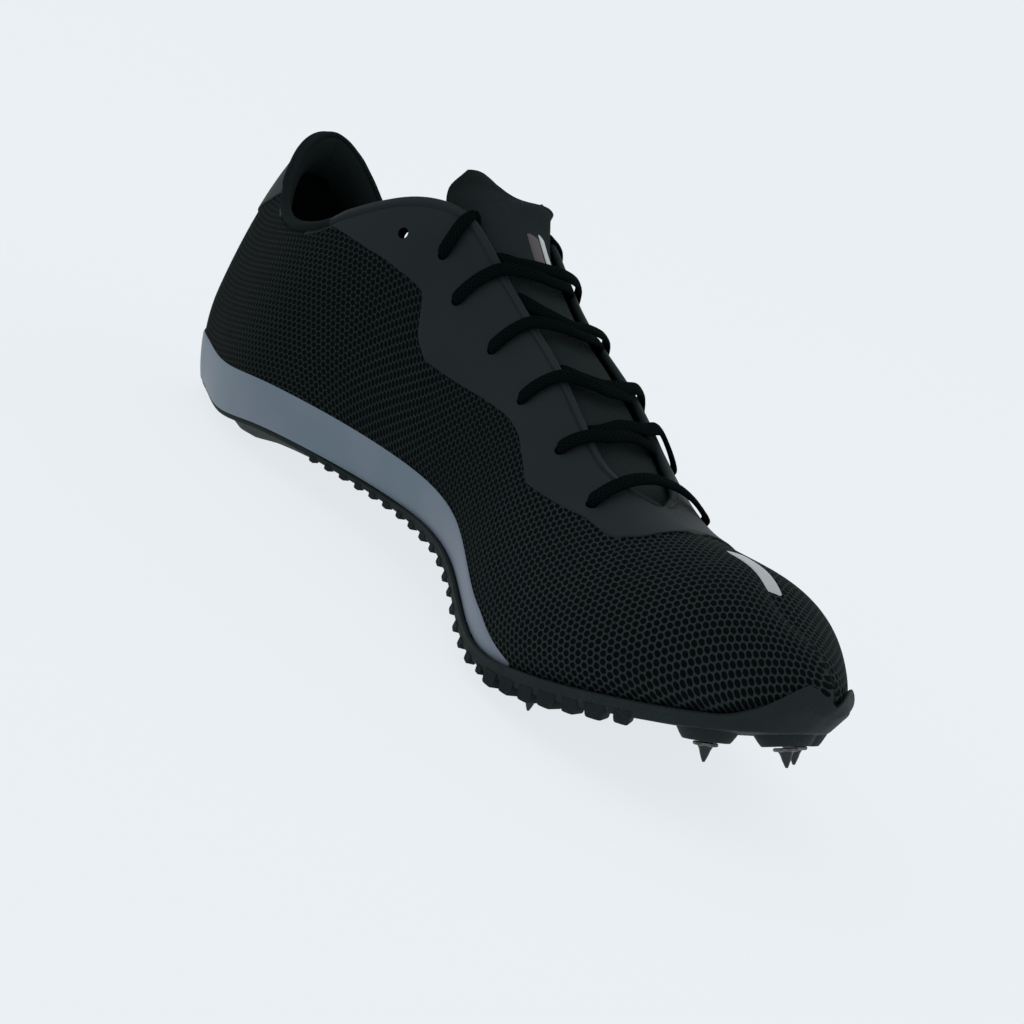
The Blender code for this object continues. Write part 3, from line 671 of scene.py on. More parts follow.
BACK_SECTIONS = (
    Section(-0.500, 0.000, 0.000, 0.00, 1.00, 2.50, -0.403, 0.020, 1.040),
    Section(-0.479, 0.184, 0.188, 0.00, 1.00, 2.50, -0.395, 0.020, 1.010),
    Section(-0.429, 0.265, 0.295, 0.00, 1.00, 2.50, -0.382, 0.020, 1.000),
    Section(-0.357, 0.336, 0.348, 0.01, 0.90, 2.50, -0.348, 0.000, 1.030),
    Section(-0.268, 0.375, 0.348, 0.16, 1.00, 2.50, -0.283, -0.010, 1.080),
)
FRONT_SECTIONS = (
    Section(-0.161, 0.309, 0.337, 0.26, 1.00, 2.40, -0.176, 0.000, 1.000),
    Section(-0.043, 0.270, 0.368, 0.34, 0.90, 2.10, -0.056, -0.007, 0.810),
    Section(0.072, 0.320, 0.436, 0.31, 0.75, 1.95, 0.062, -0.027, 0.683),
    Section(0.181, 0.451, 0.489, 0.09, 0.67, 1.95, 0.173, -0.061, 0.544),
    Section(0.281, 0.508, 0.475, 0.21, 0.67, 2.00, 0.261, -0.098, 0.488),
    Section(0.373, 0.463, 0.397, 0.47, 0.67, 2.10, 0.347, -0.110, 0.505),
    Section(0.450, 0.312, 0.170, 0.74, 0.58, 2.32, 0.390, -0.120, 0.483),
    Section(0.500, 0.117, -0.117, 1.00, 0.50, 2.11, 0.420, -0.123, 0.453),
)
TOE = 12
TURN = 24


@dataclass(frozen=True)
class Last:
    """The form that the shoe is made on."""

    length: float = 0.279
    ball_width: float = 0.092
    heel_height: float = 0.105
    instep_height: float = 0.117
    toe_spring: float = 0.0335
    heel_seat: float = 0.0055
    feather_tuck: float = 0.0060

    @cached_property
    def ring(self) -> Array:
        """World sizes of every meridian in ring order, one row each."""
        both = [(row, self.heel_height) for row in BACK_SECTIONS]
        both += [(row, self.instep_height) for row in FRONT_SECTIONS]
        medial = [self.sized(row, -row.medial, height) for row, height in both]
        lateral = [self.sized(row, row.lateral, height) for row, height in both]
        return np.array(medial + lateral[-2:0:-1])

    def sized(self, row: Section, half: float, height: float) -> tuple[float, ...]:
        """World sizes of one meridian, its half width signed towards its own side."""
        return (
            row.along * self.length, half * self.ball_width, self.heel_seat + row.rise * self.toe_spring,
            row.tuck * self.feather_tuck, row.fullness, row.crest_along * self.length,
            row.crest_side * self.ball_width, row.crest_height * height,
        )

    @cached_property
    def slopes(self) -> Array:
        """Slopes that make the cubic through the closed ring smooth to its second derivative."""
        count = len(self.ring)
        system = 4 * np.eye(count) + np.roll(np.eye(count), 1, 0) + np.roll(np.eye(count), -1, 0)
        return np.linalg.solve(system, 3 * (np.roll(self.ring, -1, 0) - np.roll(self.ring, 1, 0)))

    def read(self, station: Array) -> Array:
        """Meridian sizes at any station, on the cubic through the rows."""
        station = np.asarray(station, float)
        lower = np.floor(station).astype(int)
        t = (station - lower)[..., None]
        start, end = self.ring[lower % TURN], self.ring[(lower + 1) % TURN]
        leave, arrive = self.slopes[lower % TURN], self.slopes[(lower + 1) % TURN]
        return (start * (1 + 2 * t) * (1 - t) ** 2 + leave * t * (1 - t) ** 2
                + end * t ** 2 * (3 - 2 * t) + arrive * t ** 2 * (t - 1))

    def outward(self, station: Array) -> Array:
        """Unit vector in plan, square to the feather line and away from the foot."""
        step = 1e-3
        along = unit(self.read(station + step)[..., :2] - self.read(station - step)[..., :2])
        return np.stack([along[..., 1], -along[..., 0]], -1)

    def point(self, station: Array, share: Array) -> Array:
        """Point of the last: a superellipse from the feather to the crest, rounded in at its foot.

        The height is the sine of the share's quarter turn and the way inward one less its cosine, both to
        the power of two over the fullness.
        """
        station, share = np.broadcast_arrays(np.asarray(station, float), np.asarray(share, float))
        row = self.read(station)
        power = 2 / row[..., 4]
        angle = share * math.pi / 2
        height = np.abs(np.sin(angle)) ** power
        inward = 1 - np.abs(np.cos(angle)) ** power
        tucked = row[..., 3] * np.clip(1 - height / 0.3, 0, None) ** 2
        foot = row[..., :2] - self.outward(station) * tucked[..., None]
        plan = foot + (row[..., 5:7] - row[..., :2]) * inward[..., None]
        rise = row[..., 2] + (row[..., 7] - row[..., 2]) * height
        return np.concatenate([plan, rise[..., None]], -1)

    def normal(self, station: Array, share: Array) -> Array:
        """Unit normal below the crest, away from the foot."""
        step = 1e-3
        around = self.point(station + step, share) - self.point(station - step, share)
        up = self.point(station, share + step) - self.point(station, np.maximum(share - step, 0))
        return unit(np.cross(around, up))

    def share_at_height(self, station: Array, height: Array) -> Array:
        """Share of the meridian that lies a given height over the feather."""
        row = self.read(station)
        level = np.clip(height / (row[..., 7] - row[..., 2]), 0, 1)
        return np.arcsin(level ** (row[..., 4] / 2)) * 2 / math.pi

    def over(self, number: Array, side: Array) -> tuple[Array, Array]:
        """Points and normals on a chart that runs over the crest.

        The chart's side is 0 on the crest and grows to 1 at the lateral feather or falls to -1 at the medial
        one. Near the crest the normal is the blend of both sides' normals.

        Args:
            number: Stations between 0 at the heel and 12 at the toe.
            side: Signed share of the way down.

        Returns:
            Points and unit normals.
        """
        share = 1 - np.abs(side)
        station = np.where(side < 0, number, TURN - number)
        near = 0.93
        own = self.normal(station, np.minimum(share, near))
        other = self.normal(TURN - station, np.full_like(share, near))
        weight = np.clip((share - 0.75) / 0.25, 0, 1)[..., None] * 0.5
        return self.point(station, share), unit(own * (1 - weight) + other * weight)

    @cached_property
    def flow_table(self) -> Array:
        """Flow coordinates on an even grid of stations and shares.

        Round the shoe it is the length down the meridian from the crest, signed by the side. Along it is the
        distance along the shoe, and behind the ankle the length round the heel. Across the forefoot the
        length down leaves out its part along the shoe, so that the pattern runs straight over the toes.
        """
        stations = np.arange(0, TURN + 1e-9, 0.05)
        shares = np.linspace(0, 1, 61)
        grid = self.point(stations[:, None], shares[None, :])
        number = from_toe(stations)
        keep = (1 - smoothstep((number - 3) / 1.5))[:, None]
        step = np.diff(grid, axis=1)
        down = np.sqrt(keep * step[..., 0] ** 2 + step[..., 1] ** 2 + step[..., 2] ** 2)
        length = np.concatenate([np.cumsum(down[:, ::-1], axis=1)[:, ::-1], np.zeros((len(stations), 1))], 1)
        side = np.where(stations <= TOE, -1.0, 1.0)[:, None]
        along = grid[..., 0].copy()
        round_heel = np.concatenate([
            np.zeros((1, grid.shape[1])),
            np.cumsum(np.linalg.norm(np.diff(grid[..., :2], axis=0), axis=-1), axis=0),
        ])
        turn_at = int(round(4 / 0.05))
        medial = slice(0, turn_at)
        along[medial] = along[turn_at] - (round_heel[turn_at] - round_heel[medial])
        lateral_at = len(stations) - 1 - turn_at
        lateral = slice(lateral_at + 1, len(stations))
        along[lateral] = along[lateral_at] - (round_heel[lateral] - round_heel[lateral_at])
        return np.stack([along, length * side], -1)

    def flow(self, station: Array, share: Array) -> Array:
        """Flow coordinates at any station and share, read from the table in straight lines."""
        table = self.flow_table
        row = np.clip(np.mod(station, TURN) / 0.05, 0, table.shape[0] - 1.001)
        column = np.clip(share * (table.shape[1] - 1), 0, table.shape[1] - 1.001)
        i, j = row.astype(int), column.astype(int)
        a, b = (row - i)[..., None], (column - j)[..., None]
        low = table[i, j] * (1 - b) + table[i, j + 1] * b
        high = table[i + 1, j] * (1 - b) + table[i + 1, j + 1] * b
        return low * (1 - a) + high * a


def from_toe(station: Array) -> Array:
    """A station of either side as its number between 0 at the heel and 12 at the toe."""
    station = np.mod(station, TURN)
    return np.minimum(station, TURN - station)


# --- the upper ---------------------------------------------------------------------------------------------

TOPLINE: Table = (
    (0.0, 0.622), (0.5, 0.617), (1.0, 0.595), (1.5, 0.543), (2.0, 0.470), (2.5, 0.408), (3.0, 0.380),
    (3.4, 0.376), (3.8, 0.388), (4.4, 0.468), (5.0, 0.562), (5.3, 0.625), (5.8, 0.672), (6.2, 0.700),
    (6.8, 0.712), (7.3, 0.728), (8.0, 0.780), (8.4, 0.860), (8.75, 1.000), (12.0, 1.000),
)
THROAT_FOOT = 8.75
THROAT_ARCH: Table = ((0.0, 0.74), (7.4, 0.74), (8.2, 0.80), (8.75, 1.0), (12.0, 1.0))
OVERLAY_EDGE: Table = (
    (0.0, 0.323), (1.0, 0.330), (1.7, 0.390), (2.2, 0.445), (2.6, 0.520), (3.2, 0.520), (3.75, 0.405),
    (3.9, 0.395), (4.25, 0.373), (4.6, 0.356), (5.0, 0.358), (5.35, 0.380), (5.5, 0.305), (5.7, 0.292),
    (6.0, 0.330), (6.5, 0.394), (6.9, 0.443), (7.15, 0.458), (7.6, 0.437), (8.0, 0.520), (8.45, 0.608),
    (8.85, 0.630), (9.1, 0.720), (9.3, 1.010), (12.0, 1.100),
)
BAND_EDGE: Table = ((0.0, 1.0), (3.0, 1.0), (5.0, 0.9), (7.0, 0.75), (8.1, 0.58), (8.8, 0.02), (12.0, 0.0))
EYELETS: Table = (
    (8.36, 0.660), (7.64, 0.615), (6.92, 0.520), (6.28, 0.510), (5.68, 0.465), (5.32, 0.485), (4.85, 0.432),
)


class Crease(NamedTuple):
    """A soft trough or ridge of the vamp: its middle in the chart, slant, half length, half width and height."""

    number: float
    side: float
    slant: float
    reach: float
    half_width: float
    height: float


CREASES = (
    Crease(8.95, -0.42, -0.9, 0.15, 0.085, -0.00045), Crease(9.13, -0.44, -0.9, 0.13, 0.080, 0.00022),
    Crease(9.32, -0.46, -0.8, 0.16, 0.085, -0.00038), Crease(9.75, -0.22, 0.5, 0.16, 0.100, -0.00030),
    Crease(9.20, 0.46, 0.9, 0.16, 0.090, -0.00042), Crease(9.55, 0.40, 0.8, 0.15, 0.090, -0.00032),
    Crease(5.9, -0.74, 0.6, 0.10, 0.110, -0.00030), Crease(5.7, 0.74, -0.6, 0.10, 0.110, -0.00030),
)


class Zone(Enum):
    """Zones of the upper from the feather up: their place in that order and their number of cells."""

    BAND = (0, 7)
    BAND_STEP = (1, 4)
    MESH = (2, 30)
    OVERLAY_STEP = (3, 4)
    OVERLAY = (4, 16)
    ROLL = (5, 7)

    @property
    def cells(self) -> int:
        """Number of cells."""
        return self.value[1]


@dataclass(frozen=True)
class Upper:
    """The hollow upper: mesh body, foxing band, heel patch, eyestay, rolled collar and lining."""

    last: Last
    wall: float = 0.0016
    pad: float = 0.0034
    pad_depth: float = 0.17
    step: float = 0.0006
    run: float = 0.004
    roll: float = 0.022
    band_height: float = 0.0150
    eyelet_radius: float = 0.0017
    column_step: float = 0.05
    inner_rows: int = 30
    lip_rows: int = 7

    def topline(self, station: Array) -> Array:
        """Share of the opening's edge, 1 in front of the throat."""
        number = from_toe(station)
        return np.where(number >= THROAT_FOOT - 1e-6, 1.0, np.minimum(read_smooth(TOPLINE, number, 0.22), 0.985))

    def throat_point(self, station: Array, share: Array) -> Array:
        """Point of the last, drawn down inside the throat towards the straight line from edge to edge.

        Between the edges only a part of the rise over that line is kept, so that the tongue and the lace lie
        nearly flat across the throat.

        Args:
            station: Stations of either side.
            share: Shares between the feather and the crest.

        Returns:
            The points.
        """
        number = from_toe(station)
        edge = self.topline(number)
        point = self.last.point(station, share)
        medial, lateral = self.last.point(number, edge), self.last.point(TURN - number, edge)
        width = np.maximum(lateral[..., 1] - medial[..., 1], 0.0003)
        chord = medial + (lateral - medial) * ((point[..., 1] - medial[..., 1]) / width)[..., None]
        keep = np.where(share > edge, read_smooth(THROAT_ARCH, number, 0.2), 1.0)
        return chord + (point - chord) * keep[..., None]

    def zones(self, station: Array) -> tuple[Array, Array, list[Zone]]:
        """Rows of the outer face.

        Args:
            station: One station for each column.

        Returns:
            Shares and raised heights, shape (columns, rows), and the zone of each row of cells.
        """
        number = from_toe(station)
        top = self.topline(station)
        open_ = top < 1
        roll = np.where(open_, self.roll, 0.004)
        band = self.last.share_at_height(station, self.band_height * read_smooth(BAND_EDGE, number, 0.15))
        band = np.maximum(band, 2.5 * self.run)
        true_edge = read_smooth(OVERLAY_EDGE, number, 0.07)
        edge = np.minimum(true_edge, top - roll - 2.5 * self.run)
        spans = {
            Zone.BAND: (np.zeros_like(top), band - self.run),
            Zone.BAND_STEP: (band - self.run, band + self.run),
            Zone.MESH: (band + self.run, edge - self.run),
            Zone.OVERLAY_STEP: (edge - self.run, edge + self.run),
            Zone.OVERLAY: (edge + self.run, top - roll),
            Zone.ROLL: (top - roll, top),
        }
        shares, zones = [], []
        for zone, (low, high) in spans.items():
            part = np.arange(zone.cells) / zone.cells
            shares.append(low[:, None] + (high - low)[:, None] * part)
            zones += [zone] * zone.cells
        share = np.concatenate(shares + [top[:, None]], axis=1)
        banded = 1 - smoothstep((share - (band - self.run)[:, None]) / (2 * self.run))
        banded = banded * smoothstep((8.75 - number) / 0.5)[:, None]
        laid = smoothstep((share - (edge - self.run)[:, None]) / (2 * self.run))
        laid = laid * smoothstep((top - roll - true_edge) / 0.03 + 0.2)[:, None]
        across = np.clip((share - (top - roll)[:, None]) / roll[:, None], 0, 1)
        seam = np.exp(-((share - (top - roll)[:, None]) / 0.0045) ** 2) * open_[:, None]
        collar = (1 - smoothstep((number - 3.6) / 0.6))[:, None]
        raised = self.step * (banded + laid) - 0.0003 * seam
        raised = raised + self.creases(station, share)
        raised = raised + np.sin(across * math.pi) ** 0.7 * (0.0010 * collar + 0.0003) * open_[:, None]
        return share, raised, zones

    def creases(self, station: Array, share: Array) -> Array:
        """Height of the soft troughs and ridges over the plain face.

        Each is a bell across its own line and a flatter bell along it.

        Args:
            station: Stations, one for each column.
            share: Shares, shape (columns, rows).

        Returns:
            Heights, shape (columns, rows).
        """
        number = from_toe(station)[:, None]
        side = np.where(station > TOE, 1.0, -1.0)[:, None] * (1 - share)
        height = np.zeros_like(share)
        for crease in CREASES:
            along = (side - crease.side) / crease.reach
            away = (number - crease.number - crease.slant * (side - crease.side)) / crease.half_width
            height = height + crease.height * np.exp(-away ** 2 - along ** 4)
        return height

    def toe_bar(self) -> bpy.types.Object:
        """A plain pale bar on the toe, a little on the medial side of the crest."""
        u, v = bar_grid()
        place, normal = self.last.over((10.36 + 0.62 * u).ravel(), (0.022 + 0.036 * v).ravel())
        piece = raised_bar("toe_bar", place.reshape(*u.shape, 3), normal.reshape(*u.shape, 3), Finish.PRINT)
        return hand_over(piece)

    def wall_at(self, station: Array, share: Array) -> Array:
        """Thickness of the wall: padded along the collar, thin at its edge and elsewhere."""
        padded = np.clip((5.3 - from_toe(station)) / 1.0, 0, 1)
        below = np.clip(1 - (self.topline(station) - share) / self.pad_depth, 0, 1)
        return self.wall + self.pad * padded * np.sin(below * math.pi) ** 0.6

    def welded(self, columns: int, rows: int, station: Array, start: int) -> NDArray[np.int64]:
        """Grid of vertex numbers whose crest points in front of the throat are shared by both sides."""
        index = np.arange(columns * rows).reshape(columns, rows) + start
        partner = (columns - np.arange(columns)) % columns
        closed = (self.topline(station) >= 1) & (np.arange(columns) > columns // 2)
        index[closed, -1] = index[partner[closed], -1]
        return index

    def body(self) -> Body:
        """The wall as one closed body.

        The outer face is the last's surface moved out by the raised height, the inner face the same surface
        moved in by the wall. Round the opening they are joined by a half circle that bulges away from the
        wall, and at the feather by a flat foot.

        Returns:
            Vertices, quads, flow and finish numbers.
        """
        station = np.arange(0, TURN, self.column_step)
        count = len(station)
        share, raised, zones = self.zones(station)
        rows = share.shape[1]
        base = self.last.point(station[:, None], share).reshape(-1, 3)
        outer = self.welded(count, rows, station, 0)
        quads = strip_quads(outer, closed=True)
        normals = sheet_normals(base, quads)
        outside = base + normals * raised.reshape(-1, 1)

        top = self.topline(station)
        fall = 1 - (np.arange(self.inner_rows) / (self.inner_rows - 1))[::-1] ** 1.6
        inner_share = top[:, None] * (fall[None, :])
        inner_base = self.last.point(station[:, None], inner_share).reshape(-1, 3)
        inner = self.welded(count, self.inner_rows, station, len(base))
        inner_quads = strip_quads(inner - len(base), closed=True)
        inner_normals = sheet_normals(inner_base, inner_quads)
        walls = self.wall_at(station[:, None], inner_share).reshape(-1, 1)
        inside = inner_base - inner_normals * walls

        feet = (outer[:, 0], inner[:, 0])
        outside[feet[0], 2] = base[feet[0], 2]
        inside[feet[1] - len(base), 2] = base[feet[0], 2]

        points = np.concatenate([outside, inside])
        flow = np.concatenate([
            self.last.flow(np.broadcast_to(station[:, None], share.shape), share).reshape(-1, 2),
            self.last.flow(np.broadcast_to(station[:, None], inner_share.shape), inner_share).reshape(-1, 2),
        ])
        last_open = int(round(THROAT_FOOT / self.column_step))
        loop = np.arange(-last_open, last_open) % count
        edge_out, edge_in = outer[loop, -1], inner[loop, -1]
        start_out, start_in = outer[last_open, -1], inner[last_open, -1]
        edge_out[0], edge_in[0] = start_out, start_in
        middle = (points[edge_out] + points[edge_in]) / 2
        across = (points[edge_out] - points[edge_in]) / 2
        along = np.roll(middle, -1, axis=0) - np.roll(middle, 1, axis=0)
        bulge = unit(np.cross(along, across))
        inward = base[outer[loop, -2]] - base[edge_out]
        bulge = bulge * -np.sign((bulge * inward).sum(1, keepdims=True))
        radius = np.linalg.norm(across, axis=1, keepdims=True)
        angle = np.linspace(0, math.pi, self.lip_rows + 2)[None, 1:-1, None]
        lip = middle[:, None] + across[:, None] * np.cos(angle) + (bulge * radius)[:, None] * np.sin(angle)
        lip_index = np.arange(lip.shape[0] * lip.shape[1]).reshape(lip.shape[:2]) + len(points)
        lip_index = np.concatenate([edge_out[:, None], lip_index, edge_in[:, None]], axis=1)
        lip_quads = strip_quads(lip_index, closed=True)
        foot_quads = np.stack([feet[0], feet[1], np.roll(feet[1], -1), np.roll(feet[0], -1)], -1)

        lip_flow = np.repeat(flow[edge_out], self.lip_rows, axis=0)
        lip_flow[:, 1] += np.tile(np.linspace(0, 0.003, self.lip_rows), len(loop))
        finish = self.finishes(station, zones, inner_share, loop)
        return Body(
            np.concatenate([points, lip.reshape(-1, 3)]),
            np.concatenate([quads, inner_quads[:, ::-1] + len(base), lip_quads, foot_quads]),
            np.concatenate([flow, lip_flow]),
            finish,
        )

    def finishes(
        self, station: Array, zones: Sequence[Zone], inner_share: Array, loop: NDArray[np.int64],
    ) -> NDArray[np.int64]:
        """Finish number of each quad, in the order of the body's quads.

        Args:
            station: Stations of the columns.
            zones: Zone of each row of cells.
            inner_share: Shares of the inner face's rows.
            loop: Columns round the opening.

        Returns:
            Numbers into `order`.
        """
        order = [finish.name for finish in self.order()]
        mesh, eyestay, heel = (order.index(name) for name in ("MESH", "EYESTAY", "HEEL"))
        band, collar, lining = (order.index(name) for name in ("BAND", "COLLAR", "LINING"))
        number = from_toe(station + self.column_step / 2)[:, None]
        cell = np.array([zone.value[0] for zone in zones])[None, :]
        place = np.array([zones[:row].count(zone) for row, zone in enumerate(zones)])[None, :]
        low_half = place < 2
        outer = np.full((len(station), len(zones)), mesh)
        in_band = (cell == 0) | ((cell == 1) & low_half)
        outer = np.where(in_band & (number < 8.72), band, outer)
        overlay = (cell == 4) | ((cell == 3) & ~low_half)
        outer = np.where(overlay & (number < 2.6), heel, outer)
        outer = np.where(overlay & (number > 3.6) & (number < 9.32), eyestay, outer)
        outer = np.where((cell == 5) & (number < 3.95), collar, outer)
        outer = np.where((cell == 5) & (number >= 3.95) & (number < 9.32), eyestay, outer)
        depth = self.topline(station)[:, None] - (inner_share[:, :-1] + inner_share[:, 1:]) / 2
        inner = np.where((depth < 0.16) & (number < 5.2), collar, lining)
        ring = number[loop, 0]
        lip = np.repeat(np.where(ring < 3.95, collar, eyestay)[:, None], self.lip_rows + 1, axis=1)
        foot = np.full(len(station), lining)
        return np.concatenate([outer.ravel(), inner.ravel(), lip.ravel(), foot])

    @staticmethod
    def order() -> list[Finish]:
        """Finishes in the order of their numbers."""
        return [Finish.MESH, Finish.EYESTAY, Finish.HEEL, Finish.BAND, Finish.COLLAR, Finish.LINING]

    def eyelet_rods(self) -> bpy.types.Object:
        """Rods that stand square to the eyestay, one for each eyelet, to cut its hole."""
        body = bmesh.new()
        for number, share in EYELETS:
            for station in (number, TURN - number):
                place = Vector(self.last.point(station, share))
                normal = Vector(self.last.normal(np.array(station), np.array(share)))
                turn = normal.to_track_quat("Z", "Y").to_matrix().to_4x4()
                bmesh.ops.create_cone(
                    body, cap_ends=True, segments=28, radius1=self.eyelet_radius, radius2=self.eyelet_radius,
                    depth=0.014, matrix=Matrix.Translation(place) @ turn,
                )
        mesh = bpy.data.meshes.new("eyelet_rods")
        body.to_mesh(mesh)
        body.free()
        mesh.materials.append(Finish.LINING.material())
        rods = bpy.data.objects.new("eyelet_rods", mesh)
        bpy.context.collection.objects.link(rods)
        return rods

    def build(self) -> bpy.types.Object:
        """The dressed upper, its eyelets cut."""
        piece = make_piece("upper_shell", self.body(), [finish.material() for finish in self.order()], 55)
        rods = self.eyelet_rods()
        cut = piece.modifiers.new("Eyelets", "BOOLEAN")
        cut.object, cut.operation, cut.solver = rods, "DIFFERENCE", "EXACT"
        done = bpy.data.meshes.new_from_object(piece.evaluated_get(bpy.context.evaluated_depsgraph_get()))
        piece.modifiers.clear()
        piece.data = done
        done.name = piece.name
        bpy.data.objects.remove(rods, do_unlink=True)
        self.toe_bar()
        return hand_over(piece, ["upper"])


# --- the sole ----------------------------------------------------------------------------------------------


class SoleRow(NamedTuple):
    """The sole at one station, thicknesses as shares of the plate's."""

    station: float
    edge: float
    middle: float
    rand: float


SOLE_ROWS = (
    SoleRow(0.0, 0.34, 1.60, 0.0), SoleRow(3.2, 0.34, 1.60, 0.0), SoleRow(5.6, 0.42, 0.75, 0.0),
    SoleRow(6.4, 0.50, 0.75, 0.0008), SoleRow(8.2, 0.70, 0.90, 0.0010), SoleRow(9.0, 0.85, 1.00, 0.0014),
    SoleRow(11.0, 0.85, 1.00, 0.0014), SoleRow(11.3, 0.95, 1.00, 0.0052), SoleRow(11.6, 1.10, 1.05, 0.0088),
    SoleRow(12.0, 1.18, 1.10, 0.0034),
)


RAND_WALL: Table = ((0.0, 0.0003), (4.5, 0.0003), (7.5, 0.0013), (11.2, 0.0012), (11.7, 0.0007), (12.0, 0.0005))
PAD_START: Table = ((0.0, 0.16), (3.5, 0.14), (6.0, 0.02), (12.0, 0.0))


class SpikeRow(NamedTuple):
    """One spike on the plate."""

    name: str
    along: float
    side: float
    on_floor: bool


SPIKES = (
    SpikeRow("spike_medial_rear", 0.258, -0.345, True),
    SpikeRow("spike_medial_middle", 0.420, -0.225, False),
    SpikeRow("spike_medial_front", 0.463, -0.085, False),
    SpikeRow("spike_lateral_rear", 0.245, 0.320, True),
    SpikeRow("spike_lateral_middle", 0.335, 0.235, False),
    SpikeRow("spike_lateral_front", 0.437, 0.087, False),
)


@dataclass(frozen=True)
class Lug:
    """Sizes of one kind of block under the sole's edge."""

    length: float
    width: float
    depth_rear: float
    depth_front: float
    pitch: float
    start: float
    end: float
    sink: float


@dataclass(frozen=True)
class Outsole:
    """The plate with its rand, toe bumper, lugs, ribs and spike pods."""

    last: Last
    gap: float = 0.0003
    plate: float = 0.0042
    band_step: float = 0.0006
    tuck: float = 0.0008
    pod_depth: float = 0.0026
    pod_root: float = 0.0080
    pod_face: float = 0.0056
    flange: float = 0.0010
    spike: float = 0.0038
    tip_radius: float = 0.0005
    column_step: float = 0.05
    lug: Lug = Lug(0.0046, 0.0046, 0.0022, 0.0022, 0.0066, 8.60, 10.25, 0.0015)
    rib: Lug = Lug(0.0024, 0.0025, 0.0009, 0.0016, 0.0068, 4.9, 8.45, 0.0008)

    def column(self, name: str, station: Array) -> Array:
        """One column of the sole's table, its corners rounded, at a station of either side."""
        table = [(row.station, getattr(row, name)) for row in SOLE_ROWS]
        return read_smooth(table, from_toe(station), 0.15)

    def rand_gap(self, station: Array) -> Array:
        """Distance from the last to the rand's inner face.

        It is wider over the band and over the tight toe. Round the heel the edge is tucked in under the upper.
        """
        number = from_toe(station)
        ease = np.where(number <= 8.65, self.band_step, np.where(number > 11.2, 2 * self.gap, self.gap))
        tucked = (self.gap + self.band_step + self.tuck) * (1 - smoothstep((number - 4.2) / 1.2))
        return (self.gap + ease - tucked)[..., None]

    def rand_wall(self, station: Array) -> Array:
        """Thickness of the rand, thin round the heel."""
        return read_smooth(RAND_WALL, from_toe(station), 0.3)[..., None]

    def outline(self, station: Array) -> Array:
        """Outline in plan: the feather, moved out by the rand and its gap."""
        reach = self.rand_gap(station) + self.rand_wall(station)
        return self.last.point(station, np.zeros_like(station))[..., :2] + self.last.outward(station) * reach

    def level(self, station: Array, across: Array, plan: Array) -> Array:
        """Height of the upper's floor: the feather's at the side, and by distance along within."""
        spine = self.last.read(np.linspace(0, TOE, 241))
        feather = self.last.point(station, np.zeros_like(station))
        inside = np.interp(plan[..., 0], spine[:, 0], spine[:, 2])
        at_feather = np.interp(feather[..., 0], spine[:, 0], spine[:, 2])
        return inside + (feather[..., 2] - at_feather) * (1 - across)

    def floor_point(self, station: Array, across: Array, height: float) -> Array:
        """Points over the sole at a share of the way from the feather to the middle line."""
        feather = self.last.point(station, np.zeros_like(station))[..., :2]
        across = np.broadcast_to(across, feather.shape[:-1])
        plan = feather + (self.last.read(station)[..., 5:7] - feather) * across[..., None]
        return np.concatenate([plan, (self.level(station, across, plan) + height)[..., None]], -1)

    def underside(self, station: Array, across: Array) -> Array:
        """Underside, parallel to the upper's floor and ground flat where it would pass the ground."""
        outline = self.outline(station)
        across = np.broadcast_to(across, outline.shape[:-1])
        plan = outline + (self.last.read(station)[..., 5:7] - outline) * across[..., None]
        inner = read_smooth(PAD_START, from_toe(station), 0.4)
        blend = smoothstep((across - inner) / (0.3 + inner * 0.7))
        edge, middle = self.column("edge", station), self.column("middle", station)
        thickness = self.plate * (edge * (1 - blend) + middle * blend)
        height = np.maximum(self.level(station, across, plan) - self.gap - thickness, 0)
        return np.concatenate([plan, height[..., None]], -1)

    def shell(self) -> Body:
        """The plate and rand as one ring of closed profiles.

        Each profile starts on the middle line on top, runs out to the feather, up inside the rand, over its
        rounded lip, down its face, round the edge and back along the underside to the middle line.
        """
        station = np.arange(0, TURN, self.column_step)
        feather = self.last.point(station, np.zeros_like(station))
        out = self.last.outward(station)
        spoke = feather[:, :2] - self.last.read(station)[:, 5:7]
        spoke = spoke / np.sum(spoke * out, axis=1, keepdims=True)
        gap = self.rand_gap(station)
        share = self.last.share_at_height(station, self.column("rand", station))
        wall = gap + self.rand_wall(station)
        low = self.last.point(station, share * 0.4) + self.last.normal(station, share * 0.4) * wall
        normal = self.last.normal(station, share)
        rim = self.last.point(station, share)
        rim[:, 2] -= self.gap * (1 - smoothstep(self.column("rand", station) / 0.0008))
        corner = np.concatenate([feather[:, :2] + spoke * gap, feather[:, 2:] - self.gap], 1)
        top = [self.floor_point(station, across, -self.gap) for across in (1.0, 0.5)]
        across = (0.0, 0.05, 0.12, 0.2, 0.3, 0.42, 0.55, 0.7, 0.85, 1.0)
        profile = np.stack(
            top + [corner, rim + normal * gap, rim + normal * wall, low]
            + [self.underside(station, value) for value in across], axis=1,
        )
        radii = [0, 0, 0, 0.0006, 0.0006, 0.0004, 0.0011] + [0] * (len(across) - 1)
        rounded = filleted(profile, radii)
        rounded[..., 2] = np.maximum(rounded[..., 2], 0)
        count, rows = rounded.shape[:2]
        index = np.arange(count * rows).reshape(count, rows)
        partner = (count - np.arange(count)) % count
        beyond = np.arange(count) > count // 2
        index[beyond, 0] = index[partner[beyond], 0]
        index[beyond, -1] = index[partner[beyond], -1]
        quads = strip_quads(index, closed=True)
        return Body(rounded.reshape(-1, 3), quads, None, np.zeros(len(quads), int))

